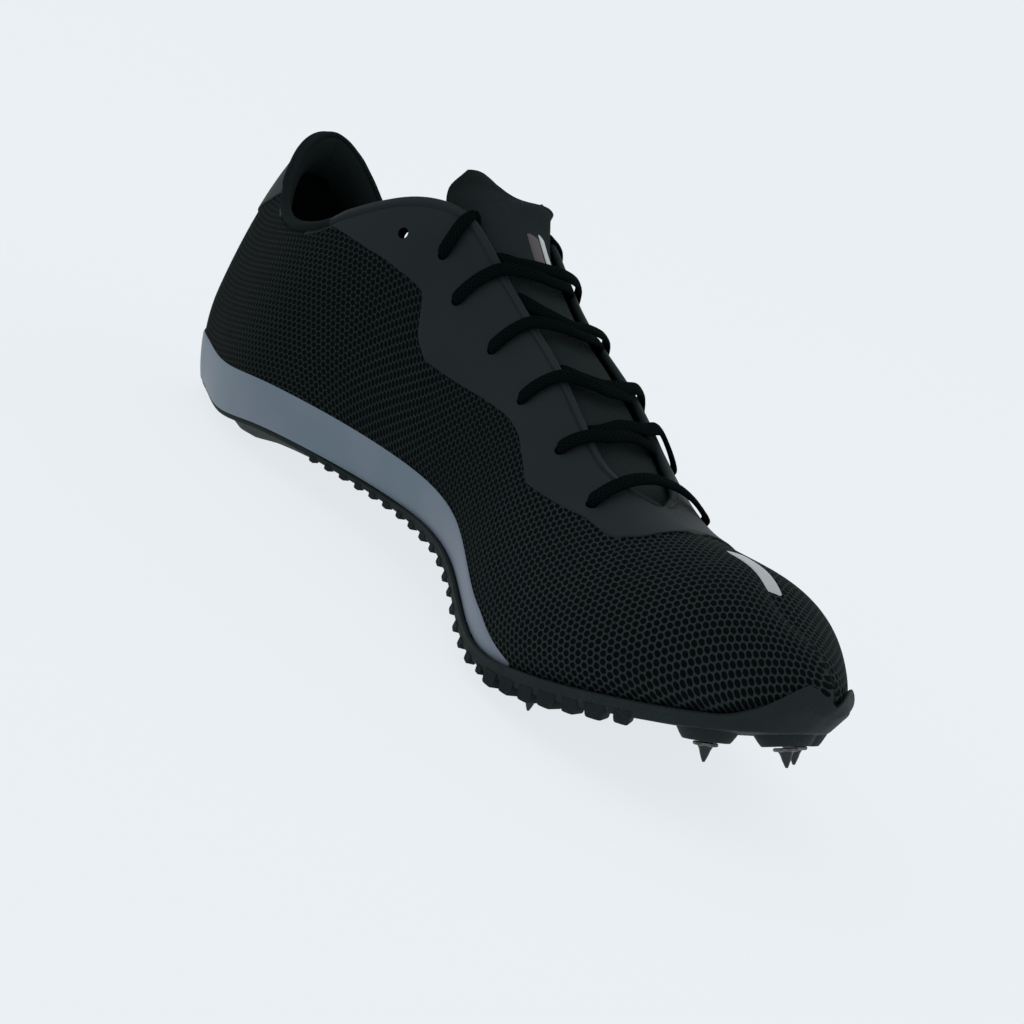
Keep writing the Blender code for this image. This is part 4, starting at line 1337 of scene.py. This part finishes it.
    def by_pitch(self, lug: Lug) -> Array:
        """Stations one pitch apart along the outline between two others."""
        fine = np.linspace(lug.start, lug.end, 400)
        steps = np.linalg.norm(np.diff(self.outline(fine), axis=0), axis=1)
        run = np.concatenate([[0], np.cumsum(steps)])
        return np.interp(np.arange(int(run[-1] / lug.pitch) + 1) * lug.pitch, run, fine)

    def blocks(self, lug: Lug) -> Body:
        """All blocks of a kind, on both sides.

        Each is a closed profile in the plane along the outline and up, straight at its front and swept up
        in a curve at its rear, and carried across the block's width.
        """
        profile = np.array([
            (-0.58, 0.30), (-0.54, -0.20), (-0.50, -0.62), (-0.45, -0.80), (-0.36, -0.88), (0.0, -0.97),
            (0.26, -1.0), (0.36, -0.95), (0.41, -0.80), (0.48, -0.20), (0.50, 0.30),
        ])
        single = self.by_pitch(lug)
        station = np.concatenate([single, -single])
        depth = np.interp(from_toe(station), (lug.start, lug.end), (lug.depth_rear, lug.depth_front))
        worn = np.sin(station * 17.0) * np.sin(station * 5.3 + 1.0)
        depth = depth * (1 + 0.16 * worn)
        out = np.concatenate([self.last.outward(station), np.zeros((len(station), 1))], 1)
        edge = self.underside(station, np.zeros_like(station))
        step = 1e-2
        ahead = self.underside(station + step, np.zeros_like(station))
        ahead = unit(ahead - self.underside(station - step, np.zeros_like(station)))
        ahead = ahead * np.sign(station)[:, None]
        up = unit(np.cross(out, ahead))
        up = up * np.where(up[:, 2:] < 0, -1, 1)
        height = np.where(profile[:, 1] < 0, profile[:, 1][None] * depth[:, None], lug.sink)
        length = lug.length * (1 + 0.10 * np.sin(station * 11.0))
        ring = edge[:, None] + ahead[:, None] * (profile[None, :, 0] * length[:, None])[..., None]
        ring = ring + up[:, None] * height[..., None]
        rings = []
        middle = ring.mean(axis=1, keepdims=True)
        for place, shrink in (
            (0.04, 1.0), (0.0, 0.06), (0.0, 0.0), (0.12, 0.0), (0.9, 0.0), (1.0, 0.1), (1.0, 1.0),
        ):
            shift = out[:, None] * (0.0002 - place * lug.width)
            rings.append(middle * shrink + ring * (1 - shrink) + shift)
        stack = np.stack(rings, axis=1)
        count, layers, corners = stack.shape[:3]
        index = np.arange(count * layers * corners).reshape(count, layers, corners)
        index = np.concatenate([index, index[..., :1]], axis=2)
        quads = np.concatenate([
            np.stack([index[:, :-1, :-1], index[:, 1:, :-1], index[:, 1:, 1:], index[:, :-1, 1:]], -1)
        ]).reshape(-1, 4)
        return Body(stack.reshape(-1, 3), quads, None, np.ones(len(quads), int))

    def seat(self, row: SpikeRow) -> tuple[Array, Array, float]:
        """Place, direction and pod depth of a spike, from the nearest point of the underside."""
        along, side = row.along * self.last.length, row.side * self.last.ball_width
        stations, across = np.meshgrid(np.linspace(6, 18, 721), np.linspace(0.3, 1, 36), indexing="ij")
        points = self.underside(stations, across)
        far = np.hypot(points[..., 0] - along, points[..., 1] - side)
        i, j = np.unravel_index(np.argmin(far), far.shape)
        i, j = int(np.clip(i, 4, 716)), int(np.clip(j, 1, 34))
        normal = unit(np.cross(points[i + 4, j] - points[i - 4, j], points[i, j + 1] - points[i, j - 1]))
        normal = normal * (-1 if normal[2] > 0 else 1)
        near = points[i, j]
        height = near[2] - (normal[0] * (along - near[0]) + normal[1] * (side - near[1])) / normal[2]
        depth = self.pod_depth
        if row.on_floor:
            drop = self.tip_radius * math.sqrt(1 - normal[2] ** 2)
            depth = (height - drop) / -normal[2] - self.flange - self.spike - self.gap
        return np.array([along, side, height]), normal, depth

    def pods(self) -> Body:
        """A round boss with a soft shoulder for each spike, turned about the spike's axis."""
        bodies = []
        for row in SPIKES:
            place, normal, depth = self.seat(row)
            share = np.linspace(0, 1, 12)
            radius = self.pod_root + (self.pod_face - self.pod_root) * smoothstep(share * 1.15)
            height = -0.0009 + (depth + 0.0009) * smoothstep(share * 1.3)
            radius = np.concatenate([[1e-7], radius, [self.pod_face * 0.82, self.pod_face * 0.74, 1e-7]])
            height = np.concatenate([[-0.0009], height, [depth, depth - 0.0003, depth - 0.0003]])
            bodies.append(turned(place, normal, radius, height, 40))
        whole = join_all(bodies)
        whole.finish = np.zeros(len(whole.quads), int)
        return whole

    def build(self) -> list[bpy.types.Object]:
        """The dressed outsole."""
        body = join_all([self.shell(), self.pods(), self.blocks(self.lug), self.blocks(self.rib)])
        rubber = [Finish.PLATE.material(), Finish.LUG.material()]
        piece = make_piece("outsole_plate", body, rubber, 40, outward=True)
        return [hand_over(piece, ["outsole"])]


def turned(place: Array, axis: Array, radius: Array, height: Array, sides: int) -> Body:
    """Body turned about an axis.

    The profile's radii and heights are swept round the axis through the place in even steps.

    Args:
        place: Point of the axis at height 0.
        axis: Unit direction of growing height.
        radius: Radii of the profile.
        height: Heights of the profile.
        sides: Steps round.

    Returns:
        The body, with its poles as tiny rings.
    """
    first = unit(np.cross(axis, (0.0, 1.0, 0.0)))
    second = np.cross(axis, first)
    angle = np.arange(sides) * 2 * math.pi / sides
    arm = np.cos(angle)[:, None] * first + np.sin(angle)[:, None] * second
    points = place + axis * height[None, :, None] + arm[:, None] * radius[None, :, None]
    index = np.arange(sides * len(radius)).reshape(sides, len(radius))
    return Body(points.reshape(-1, 3), strip_quads(index, closed=True))


@dataclass(frozen=True)
class SpikeSet:
    """Six spikes: a notched flange, a neck and a cone; the neck and cone take a darker copy of the flange's steel,
    as painted shade.
    """

    sole: Outsole
    flange_radius: float = 0.0031
    flange_rows: int = 5
    notch_depth: float = 0.22
    sides: int = 48

    def build(self) -> list[bpy.types.Object]:
        """One piece for each spike."""
        made = []
        for row in SPIKES:
            place, normal, depth = self.sole.seat(row)
            base = place + normal * (depth + self.sole.gap)
            tip = self.sole.flange + self.sole.spike
            profile = np.array([
                (1e-7, 0.0), (0.0028, 0.0), (self.flange_radius, 0.0002), (self.flange_radius, 0.0007),
                (0.0028, 0.0009), (0.0019, 0.0010),
                (0.00175, 0.0012), (0.0014, 0.0019), (0.0011, 0.0029), (0.0007, 0.0039), (0.00035, tip - 0.0001),
                (0.00025, tip), (1e-7, tip),
            ])
            body = turned(base, normal, profile[:, 0], profile[:, 1], self.sides)
            points = body.points.reshape(self.sides, len(profile), 3)
            angle = np.arange(self.sides) * 2 * math.pi / self.sides
            wings = 1 - self.notch_depth * smoothstep((np.cos(angle * 4) - 0.2) * 1.6)
            arm = points - (base + normal * profile[None, :, 1, None])
            shaped = np.where((profile[:, 1] < 0.00095)[None, :, None], arm * wings[:, None, None], arm)
            body.points = (base + normal * profile[None, :, 1, None] + shaped).reshape(-1, 3)
            # Faces past the flange take the darker cone steel, which paints the shade on the neck and cone.
            body.finish = np.tile((np.arange(len(profile) - 1) >= self.flange_rows).astype(np.int64), self.sides)
            steel = [Finish.FLANGE.material(), Finish.CONE.material()]
            piece = make_piece(f"{row.name}_pin", body, steel, 35, outward=True)
            made.append(hand_over(piece, [row.name]))
        return made


@dataclass(frozen=True)
class Insole:
    """The sheet inside on the outsole."""

    sole: Outsole
    thickness: float = 0.0030
    lift: float = 0.0006
    inset: float = 0.0025

    def build(self) -> bpy.types.Object:
        """A soft-edged sheet: its rim is rounded, and it dips a little under the heel and the ball."""
        station = np.arange(0, TURN, 0.1)
        row = self.sole.last.read(station)
        foot = self.sole.last.point(station, np.zeros_like(station))[:, :2]
        rim = self.inset / np.linalg.norm(row[:, 5:7] - foot, axis=1)
        under = (1.0, 0.5, rim)
        over = (rim, 0.25, 0.4, 0.55, 0.7, 0.85, 1)
        parts = [self.sole.floor_point(station, across, self.lift) for across in under]
        parts += [self.sole.floor_point(station, across, self.thickness) for across in over]
        profile = filleted(np.stack(parts, 1), [0, 0, 0.001, 0.0015, 0, 0, 0, 0, 0, 0])
        count, rows = profile.shape[:2]
        index = np.arange(count * rows).reshape(count, rows)
        partner = (count - np.arange(count)) % count
        beyond = np.arange(count) > count // 2
        for end in (0, -1):
            index[beyond, end] = index[partner[beyond], end]
        body = Body(profile.reshape(-1, 3), strip_quads(index, closed=True), profile.reshape(-1, 3)[:, :2].copy())
        piece = make_piece("insole_sheet", body, [Finish.INSOLE.material()], 60, outward=True)
        return hand_over(piece, ["insole"])


# --- tongue and lace ---------------------------------------------------------------------------------------

TONGUE_UNDER: Table = (
    (9.00, 0.800), (8.60, 0.720), (8.10, 0.640), (7.50, 0.600), (6.90, 0.560), (6.30, 0.540), (5.90, 0.540),
    (5.55, 0.560),
)


# The tongue's free end, each row from the medial edge to the lateral edge: place along as a share of the length
# from mid-length, place across as a share of the ball's width, height as a share of the instep's height
TONGUE_FREE = (
    ((-0.136, -0.150, 0.800), (-0.1315, -0.085, 0.870), (-0.130, 0.0, 0.900), (-0.130, 0.108, 0.905),
     (-0.134, 0.198, 0.855)),
    ((-0.180, -0.165, 0.835), (-0.150, -0.098, 0.898), (-0.144, 0.0, 0.903), (-0.143, 0.108, 0.910),
     (-0.140, 0.202, 0.905)),
    ((-0.154, -0.180, 0.925), (-0.1515, -0.080, 0.930), (-0.150, 0.0, 0.915), (-0.1505, 0.085, 0.908),
     (-0.152, 0.162, 0.921)),
)


@dataclass(frozen=True)
class Tongue:
    """The padded tongue, with its stitched line and two plain prints."""

    upper: Upper
    thickness: float = 0.0030
    thinning: float = 0.6
    clearance: float = 0.0009
    columns: int = 49
    per_span: int = 9

    def rows(self, across: Array) -> tuple[Array, Array]:
        """Control rows before they are sunk, and how far each is sunk.

        Args:
            across: Places from -1 to 1 over the width.

        Returns:
            Points, shape (rows, columns, 3), and depths, shape (rows, columns).
        """
        last = self.upper.last
        rows, sunk = [], []
        for number, side_share in TONGUE_UNDER:
            share = 1 - (1 - side_share) * np.abs(across)
            station = np.where(across < 0, number, TURN - number)
            rows.append(self.upper.throat_point(station, share))
            sunk.append(np.full(len(across), self.upper.wall + self.clearance))
        for row in TONGUE_FREE:
            order = len(row) - 1
            curve = np.polyfit(np.linspace(-1, 1, len(row)), np.array(row), order)
            powers = across[:, None] ** np.arange(order, -1, -1)
            rows.append(powers @ curve * (last.length, last.ball_width, last.instep_height))
            sunk.append(np.zeros(len(across)))
        return np.stack(rows), np.stack(sunk)

    def surface(self) -> tuple[Array, Array, Array]:
        """Top face, its normals and flow coordinates.

        The control rows are joined by a smooth cubic along the tongue and sunk square to it.

        Returns:
            Points, normals and flow, first axis along the tongue.
        """
        across = np.linspace(-1, 1, self.columns)
        rows, sunk = self.rows(across)
        fine = catmull(rows, self.per_span)
        depth = catmull(sunk, self.per_span)
        count, width = fine.shape[:2]
        index = np.arange(count * width).reshape(count, width)
        normals = sheet_normals(fine.reshape(-1, 3), strip_quads(index)).reshape(fine.shape)
        normals = normals * (1 if normals[..., 2].mean() > 0 else -1)
        top = fine - normals * depth[..., None]
        along = np.concatenate([[0], np.cumsum(np.linalg.norm(np.diff(top[:, width // 2], axis=0), axis=1))])
        side = np.cumsum(np.linalg.norm(np.diff(top, axis=1, prepend=top[:, :1]), axis=2), axis=1)
        side = side - side[:, width // 2][:, None]
        return top, normals, np.stack([np.broadcast_to(along[:, None], side.shape), side], -1)

    def body(self) -> Body:
        """The tongue as a closed pad.

        Its half thickness falls towards the rim as the root of one less the fourth power of the way out, so
        that the rim is rounded, and a groove one stitch wide runs round inside the free end.
        """
        top, normals, flow = self.surface()
        count, width = top.shape[:2]
        across = np.abs(np.linspace(-1, 1, width))[None, :]
        ends = np.clip((count - 1 - np.arange(count)) / 5.0, 0, 1)[:, None]
        rim = (1 - self.thinning * across ** 4) * np.sqrt(np.clip(1 - across ** 16, 0.02, 1))
        rim = rim * np.sqrt(np.clip(1 - (1 - ends) ** 3, 0.02, 1))
        half = self.thickness / 2 * rim
        middle = top - normals * (self.thickness / 2)
        free = smoothstep((np.arange(count) - 62) / 6)[:, None]
        from_end = flow[-1, 0, 0] - flow[..., 0]
        from_side = np.abs(flow[:, -1:, 1]) - np.abs(flow[..., 1])
        stitched = np.minimum(from_end, from_side)
        groove = np.exp(-((stitched - 0.0042) / 0.0005) ** 2) * 0.00045 * free
        upper = middle + normals * (half - groove)[..., None]
        lower = middle - normals * half[..., None]
        ring = np.concatenate([upper, lower[:, ::-1]], axis=1)
        ring_flow = np.concatenate([flow, flow[:, ::-1]], axis=1)
        index = np.arange(ring.shape[0] * ring.shape[1]).reshape(ring.shape[:2])
        index = np.concatenate([index, index[:, :1]], axis=1)
        quads = strip_quads(index)
        caps = []
        for end in (0, -1):
            near, far = index[end, :width], index[end, width:2 * width][::-1]
            cap = np.stack([near[:-1], near[1:], far[1:], far[:-1]], -1)
            caps.append(cap if end == 0 else cap[:, ::-1])
        return Body(ring.reshape(-1, 3), np.concatenate([quads] + caps), ring_flow.reshape(-1, 2))

    def print_bar(self, name: str, along: tuple[float, float], side: tuple[float, float], finish: Finish) -> None:
        """A thin rounded bar printed on the tongue.

        Args:
            name: The piece's name.
            along: Start and end along the tongue, as shares of its rows.
            side: Start and end across, from -1 to 1.
            finish: Its finish.
        """
        top, normals, _ = self.surface()
        count, width = top.shape[:2]
        u, v = bar_grid()
        row = (along[0] + (along[1] - along[0]) * (u + 1) / 2) * (count - 1)
        column = ((side[0] + (side[1] - side[0]) * (v + 1) / 2) + 1) / 2 * (width - 1)
        i, j = np.floor(row).astype(int), np.floor(column).astype(int)
        a, b = (row - i)[..., None], (column - j)[..., None]

        def read(grid: Array) -> Array:
            """The grid at the bar's places, in straight lines."""
            return ((grid[i, j] * (1 - b) + grid[i, j + 1] * b) * (1 - a)
                    + (grid[i + 1, j] * (1 - b) + grid[i + 1, j + 1] * b) * a)

        hand_over(raised_bar(name, read(top), unit(read(normals)), finish))

    def build(self) -> bpy.types.Object:
        """The dressed tongue with its prints."""
        piece = make_piece("tongue_pad", self.body(), [Finish.TONGUE.material()], 60, outward=True)
        hand_over(piece, ["tongue"])
        self.print_bar("tongue_bar_pale", (0.60, 0.70), (0.27, 0.41), Finish.PRINT)
        self.print_bar("tongue_bar_dim", (0.61, 0.68), (0.03, 0.23), Finish.PRINT_DIM)
        return piece


# Where each lateral strand crosses the lateral edge, the crest and the medial edge, from the toe
BOWS = ((7.50, 7.64, 7.60), (7.06, 7.24, 6.93), (6.44, 6.58, 6.10), (5.82, 5.98, 5.72))
# Where each medial strand crosses the medial edge, the crest and the lateral edge, from the toe
CROSSINGS = ((7.72, 7.76, 7.66), (7.08, 7.32, 7.10), (6.44, 6.72, 6.50), (5.86, 6.12, 5.88))


class Way(NamedTuple):
    """A place on the lace's way: station from the heel, signed side over the crest, height over the last."""

    number: float
    side: float
    lift: float


@dataclass(frozen=True)
class Lace:
    """The lace: a flat oval braid led through the eyelets."""

    upper: Upper
    width: float = 0.0042
    thickness: float = 0.0015
    over: float = 0.0017
    under: float = -0.0022
    sides: int = 14
    step: float = 0.0007

    def tube(self, ways: Sequence[Way]) -> Body:
        """Tube of oval section along a way.

        The places are joined by a smooth curve over the last. The oval lies flat on the surface: its width
        is square to the curve and to the surface's normal, turned where the lace dives through an eyelet.

        Args:
            ways: Places from end to end.

        Returns:
            The closed tube with its flow.
        """
        fine = catmull(np.array(ways), 24)
        side = np.clip(fine[:, 1], -0.98, 0.98)
        normal = self.upper.last.over(fine[:, 0], side)[1]
        place = self.upper.throat_point(np.where(side < 0, fine[:, 0], TURN - fine[:, 0]), 1 - np.abs(side))
        path = place + normal * fine[:, 2:]
        run = np.concatenate([[0], np.cumsum(np.linalg.norm(np.diff(path, axis=0), axis=1))])
        even = np.linspace(0, run[-1], max(int(run[-1] / self.step), 8))
        path = np.stack([np.interp(even, run, path[:, axis]) for axis in range(3)], 1)
        normal = unit(np.stack([np.interp(even, run, normal[:, axis]) for axis in range(3)], 1))
        kernel = np.array([1, 3, 5, 3, 1]) / 13.0
        padded = np.concatenate([path[:1].repeat(2, 0), path, path[-1:].repeat(2, 0)])
        path = np.stack([np.convolve(padded[:, axis], kernel, "valid") for axis in range(3)], 1)
        ahead = unit(np.gradient(path, axis=0))
        flat = ahead - normal * (ahead * normal).sum(1, keepdims=True)
        across = np.cross(normal, flat)
        turn = np.sign((across[1:] * across[:-1]).sum(1))
        sign = np.concatenate([[1.0], np.cumprod(np.where(turn < 0, -1.0, 1.0))])
        across = across * sign[:, None]
        wide = np.exp(-0.5 * (np.arange(-8, 9) / 3.5) ** 2)
        padded = np.concatenate([across[:1].repeat(8, 0), across, across[-1:].repeat(8, 0)])
        across = np.stack([np.convolve(padded[:, axis], wide, "valid") for axis in range(3)], 1)
        across = unit(across - ahead * (across * ahead).sum(1, keepdims=True))
        up = np.cross(ahead, across)
        angle = np.arange(self.sides) * 2 * math.pi / self.sides
        steep = smoothstep((np.abs((ahead * normal).sum(1)) - 0.25) / 0.6)[:, None]
        half = self.width / 2 * (1 - 0.22 * steep)
        thick = self.thickness / 2 * (1 + 0.25 * steep)
        bow = np.sign(np.cos(angle)) * np.abs(np.cos(angle)) ** 0.8
        rise = np.sign(np.sin(angle)) * np.abs(np.sin(angle)) ** 0.9
        ring = path[:, None] + across[:, None] * (bow * half)[..., None] + up[:, None] * (rise * thick)[..., None]
        start, end = path[:1, None].repeat(self.sides, 1), path[-1:, None].repeat(self.sides, 1)
        ring = np.concatenate([start, ring, end])
        distance = np.concatenate([even[:1], even, even[-1:]])
        index = np.arange(ring.shape[0] * self.sides).reshape(ring.shape[:2])
        index = np.concatenate([index, index[:, :1]], axis=1)
        flow = np.stack(np.broadcast_arrays(np.abs(angle / math.pi - 1)[None, :], distance[:, None]), -1)
        return Body(ring.reshape(-1, 3), strip_quads(index), flow.reshape(-1, 2).copy())

    def eyelet(self, place: int, side: int) -> tuple[float, float]:
        """Number and signed side of an eyelet, counted from the toe."""
        number, share = EYELETS[place]
        return number, side * (1 - share)

    def edge(self, number: float) -> float:
        """Distance of the throat's edge from the crest, in shares."""
        return 1 - float(self.upper.topline(np.array(number)))

    def bar(self) -> Body:
        """The straight bar over the foot of the throat, its ends led down through the first eyelets."""
        number, side = self.eyelet(0, 1)
        ways = []
        for share, lift in (
            (1.00, self.under), (1.00, 0.0), (0.985, self.over), (0.85, self.over + 0.0003),
            (0.6, self.over + 0.0008), (0.3, self.over + 0.0011), (0.0, self.over + 0.0012),
        ):
            ways.append(Way(number, -side * share, lift))
        return self.tube(ways + [Way(way.number, -way.side, way.lift) for way in ways[-2::-1]])

    def near_strand(self, place: int) -> Body:
        """A strand that leaves a medial eyelet and crosses towards the toe, under the lateral edge.

        Args:
            place: Eyelet that the strand leaves, from 0 at the toe.

        Returns:
            The strand.
        """
        number, near = self.eyelet(place, -1)
        low, far = self.eyelet(place - 1, 1)
        start, crest, landing = CROSSINGS[place - 1]
        edge, beyond = -self.edge(start), self.edge(landing)
        return self.tube([
            Way(number, near, self.under), Way(number, near, -0.0006), Way(number, near, self.over * 0.7),
            Way(number + (start - number) * 0.35, near + (edge - near) * 0.4, self.over + 0.0001),
            Way(start, edge, self.over + 0.0002), Way((start + crest) / 2 + 0.03, edge * 0.5, self.over - 0.0004),
            Way(crest, 0.0, self.over - 0.0006),
            Way((crest + landing) / 2 + 0.04, beyond * 0.55, self.over - 0.0010),
            Way(landing, beyond * 0.97, self.under * 0.7), Way(landing + 0.04, beyond * 1.16, self.under),
            Way(low, far, self.under), Way(low, far, -0.0006),
        ])

    def far_strand(self, place: int) -> Body:
        """A strand that leaves a lateral eyelet in a bow and crosses to under the medial edge.

        Args:
            place: Eyelet that the strand leaves, from 0 at the toe.

        Returns:
            The strand.
        """
        number, far = self.eyelet(place, 1)
        high, near = self.eyelet(place + 1, -1)
        start, crest, landing = BOWS[place - 1]
        edge, beyond = self.edge(start), -self.edge(landing)
        return self.tube([
            Way(number, far, self.under), Way(number, far, -0.0006), Way(number, far, self.over * 0.7),
            Way(number + (start - number) * 0.3, far + (edge - far) * 0.4, self.over + 0.0004),
            Way(start, edge, self.over + 0.0009), Way((start + crest) / 2 + 0.03, edge * 0.55, self.over - 0.0001),
            Way(crest, 0.0, self.over - 0.0013),
            Way((crest + landing) / 2 + 0.05, beyond * 0.55, self.over - 0.0019),
            Way(landing, beyond * 0.97, self.under * 0.8), Way(landing, beyond * 1.16, self.under),
            Way(high, near, self.under), Way(high, near, -0.0006),
        ])

    def top_strand(self, side: int) -> Body:
        """The short strand that comes up through the top eyelet in use and is tucked in over the edge."""
        number, near = self.eyelet(5, side)
        edge = side * self.edge(number)
        return self.tube([
            Way(number, near, self.under), Way(number, near, -0.0006), Way(number, near, self.over * 0.7),
            Way(number + 0.01, near + (edge - near) * 0.3, self.over + 0.0004),
            Way(number + 0.01, near + (edge - near) * 0.8, self.over + 0.0006),
            Way(number, edge * 0.98, self.over * 0.4), Way(number, edge * 0.91, self.under * 0.4),
            Way(number + 0.02, edge * 0.96, self.under * 1.1), Way(number + 0.05, edge * 1.06, self.under * 1.2),
        ])

    def build(self) -> list[bpy.types.Object]:
        """All strands as pieces that stand for the lace's solids."""
        braid = [Finish.LACE.material()]
        made = [hand_over(make_piece("lace_bar_braid", self.bar(), braid, 70, True), ["lace_bar"])]
        top = len(EYELETS) - 2
        for place in range(1, top + 1):
            strands = []
            strands.append(self.near_strand(place) if place < top else self.top_strand(-1))
            if place > 1:
                strands.append(self.far_strand(place - 1))
            if place == top:
                strands.append(self.top_strand(1))
            piece = make_piece(f"lace_crossing_{place}_braid", join_all(strands), braid, 70, True)
            made.append(hand_over(piece, [f"lace_crossing_{place}"]))
        return made


# --- stage -------------------------------------------------------------------------------------------------


@dataclass(frozen=True)
class Studio:
    """Floor, soft lights and the camera."""

    camera_place: tuple[float, float, float] = (0.35074, -0.37227, 0.16101)
    azimuth: float = 42.357
    elevation: float = 14.712
    roll: float = 24.495
    lens: float = 64.318
    sky: Colour = (0.823, 0.863, 0.896)

    def build(self) -> None:
        """Everything around the shoe."""
        self.floor()
        self.world()
        self.light("key_light", (-0.5, -1.0, 1.5), (0.0, 0.0, 0.05), 1.6, 2.6)
        self.light("rim_light", (0.6, 1.3, 1.1), (0.0, 0.0, 0.05), 1.2, 1.6)
        self.camera()

    def floor(self) -> None:
        """A pale disc far wider than the view."""
        radius = np.array([0.0, 1.0, 4.0, 12.0, 40.0])
        angle = np.arange(64) * 2 * math.pi / 64
        points = np.zeros((64, len(radius), 3))
        points[..., 0] = np.cos(angle)[:, None] * radius
        points[..., 1] = np.sin(angle)[:, None] * radius
        points[..., 2] = -0.0001
        index = np.arange(64 * len(radius)).reshape(64, len(radius))
        body = Body(points.reshape(-1, 3), strip_quads(index, closed=True)[:, ::-1])
        make_piece("floor", body, [Finish.FLOOR.material()])

    def world(self) -> None:
        """Even light from all sides."""
        world = bpy.data.worlds.new("studio")
        world.use_nodes = True
        ground = world.node_tree.nodes["Background"]
        ground.inputs["Color"].default_value = (*self.sky, 1.0)
        ground.inputs["Strength"].default_value = 1.0
        bpy.context.scene.world = world

    def light(
        self, name: str, place: tuple[float, float, float], target: tuple[float, float, float], size: float,
        power: float,
    ) -> None:
        """A square soft light that looks at a target."""
        lamp = bpy.data.lights.new(name, "AREA")
        lamp.size = size
        lamp.energy = power
        holder = bpy.data.objects.new(name, lamp)
        holder.location = place
        holder.rotation_euler = (Vector(place) - Vector(target)).to_track_quat("Z", "Y").to_euler()
        bpy.context.collection.objects.link(holder)

    def camera(self) -> None:
        """The camera at the photograph's angle, rolled as it is."""
        data = bpy.data.cameras.new("camera")
        data.lens = self.lens
        data.sensor_width = 36.0
        holder = bpy.data.objects.new("camera", data)
        azimuth, elevation, roll = (math.radians(angle) for angle in (self.azimuth, self.elevation, self.roll))
        turn = (
            Matrix.Rotation(azimuth, 4, "Z") @ Matrix.Rotation(math.pi / 2 - elevation, 4, "X")
            @ Matrix.Rotation(roll, 4, "Z")
        )
        holder.matrix_world = Matrix.Translation(self.camera_place) @ turn
        bpy.context.collection.objects.link(holder)
        bpy.context.scene.camera = holder
        bpy.context.scene.view_settings.view_transform = "Standard"


def main() -> None:
    """Build the stage and the shoe, piece by piece."""
    logging.basicConfig(level=logging.INFO, format="%(name)s: %(message)s")
    Studio().build()
    last = Last()
    upper = Upper(last)
    sole = Outsole(last)
    sole.build()
    SpikeSet(sole).build()
    Insole(sole).build()
    upper.build()
    Tongue(upper).build()
    Lace(upper).build()


if __name__ == "__main__":
    main()
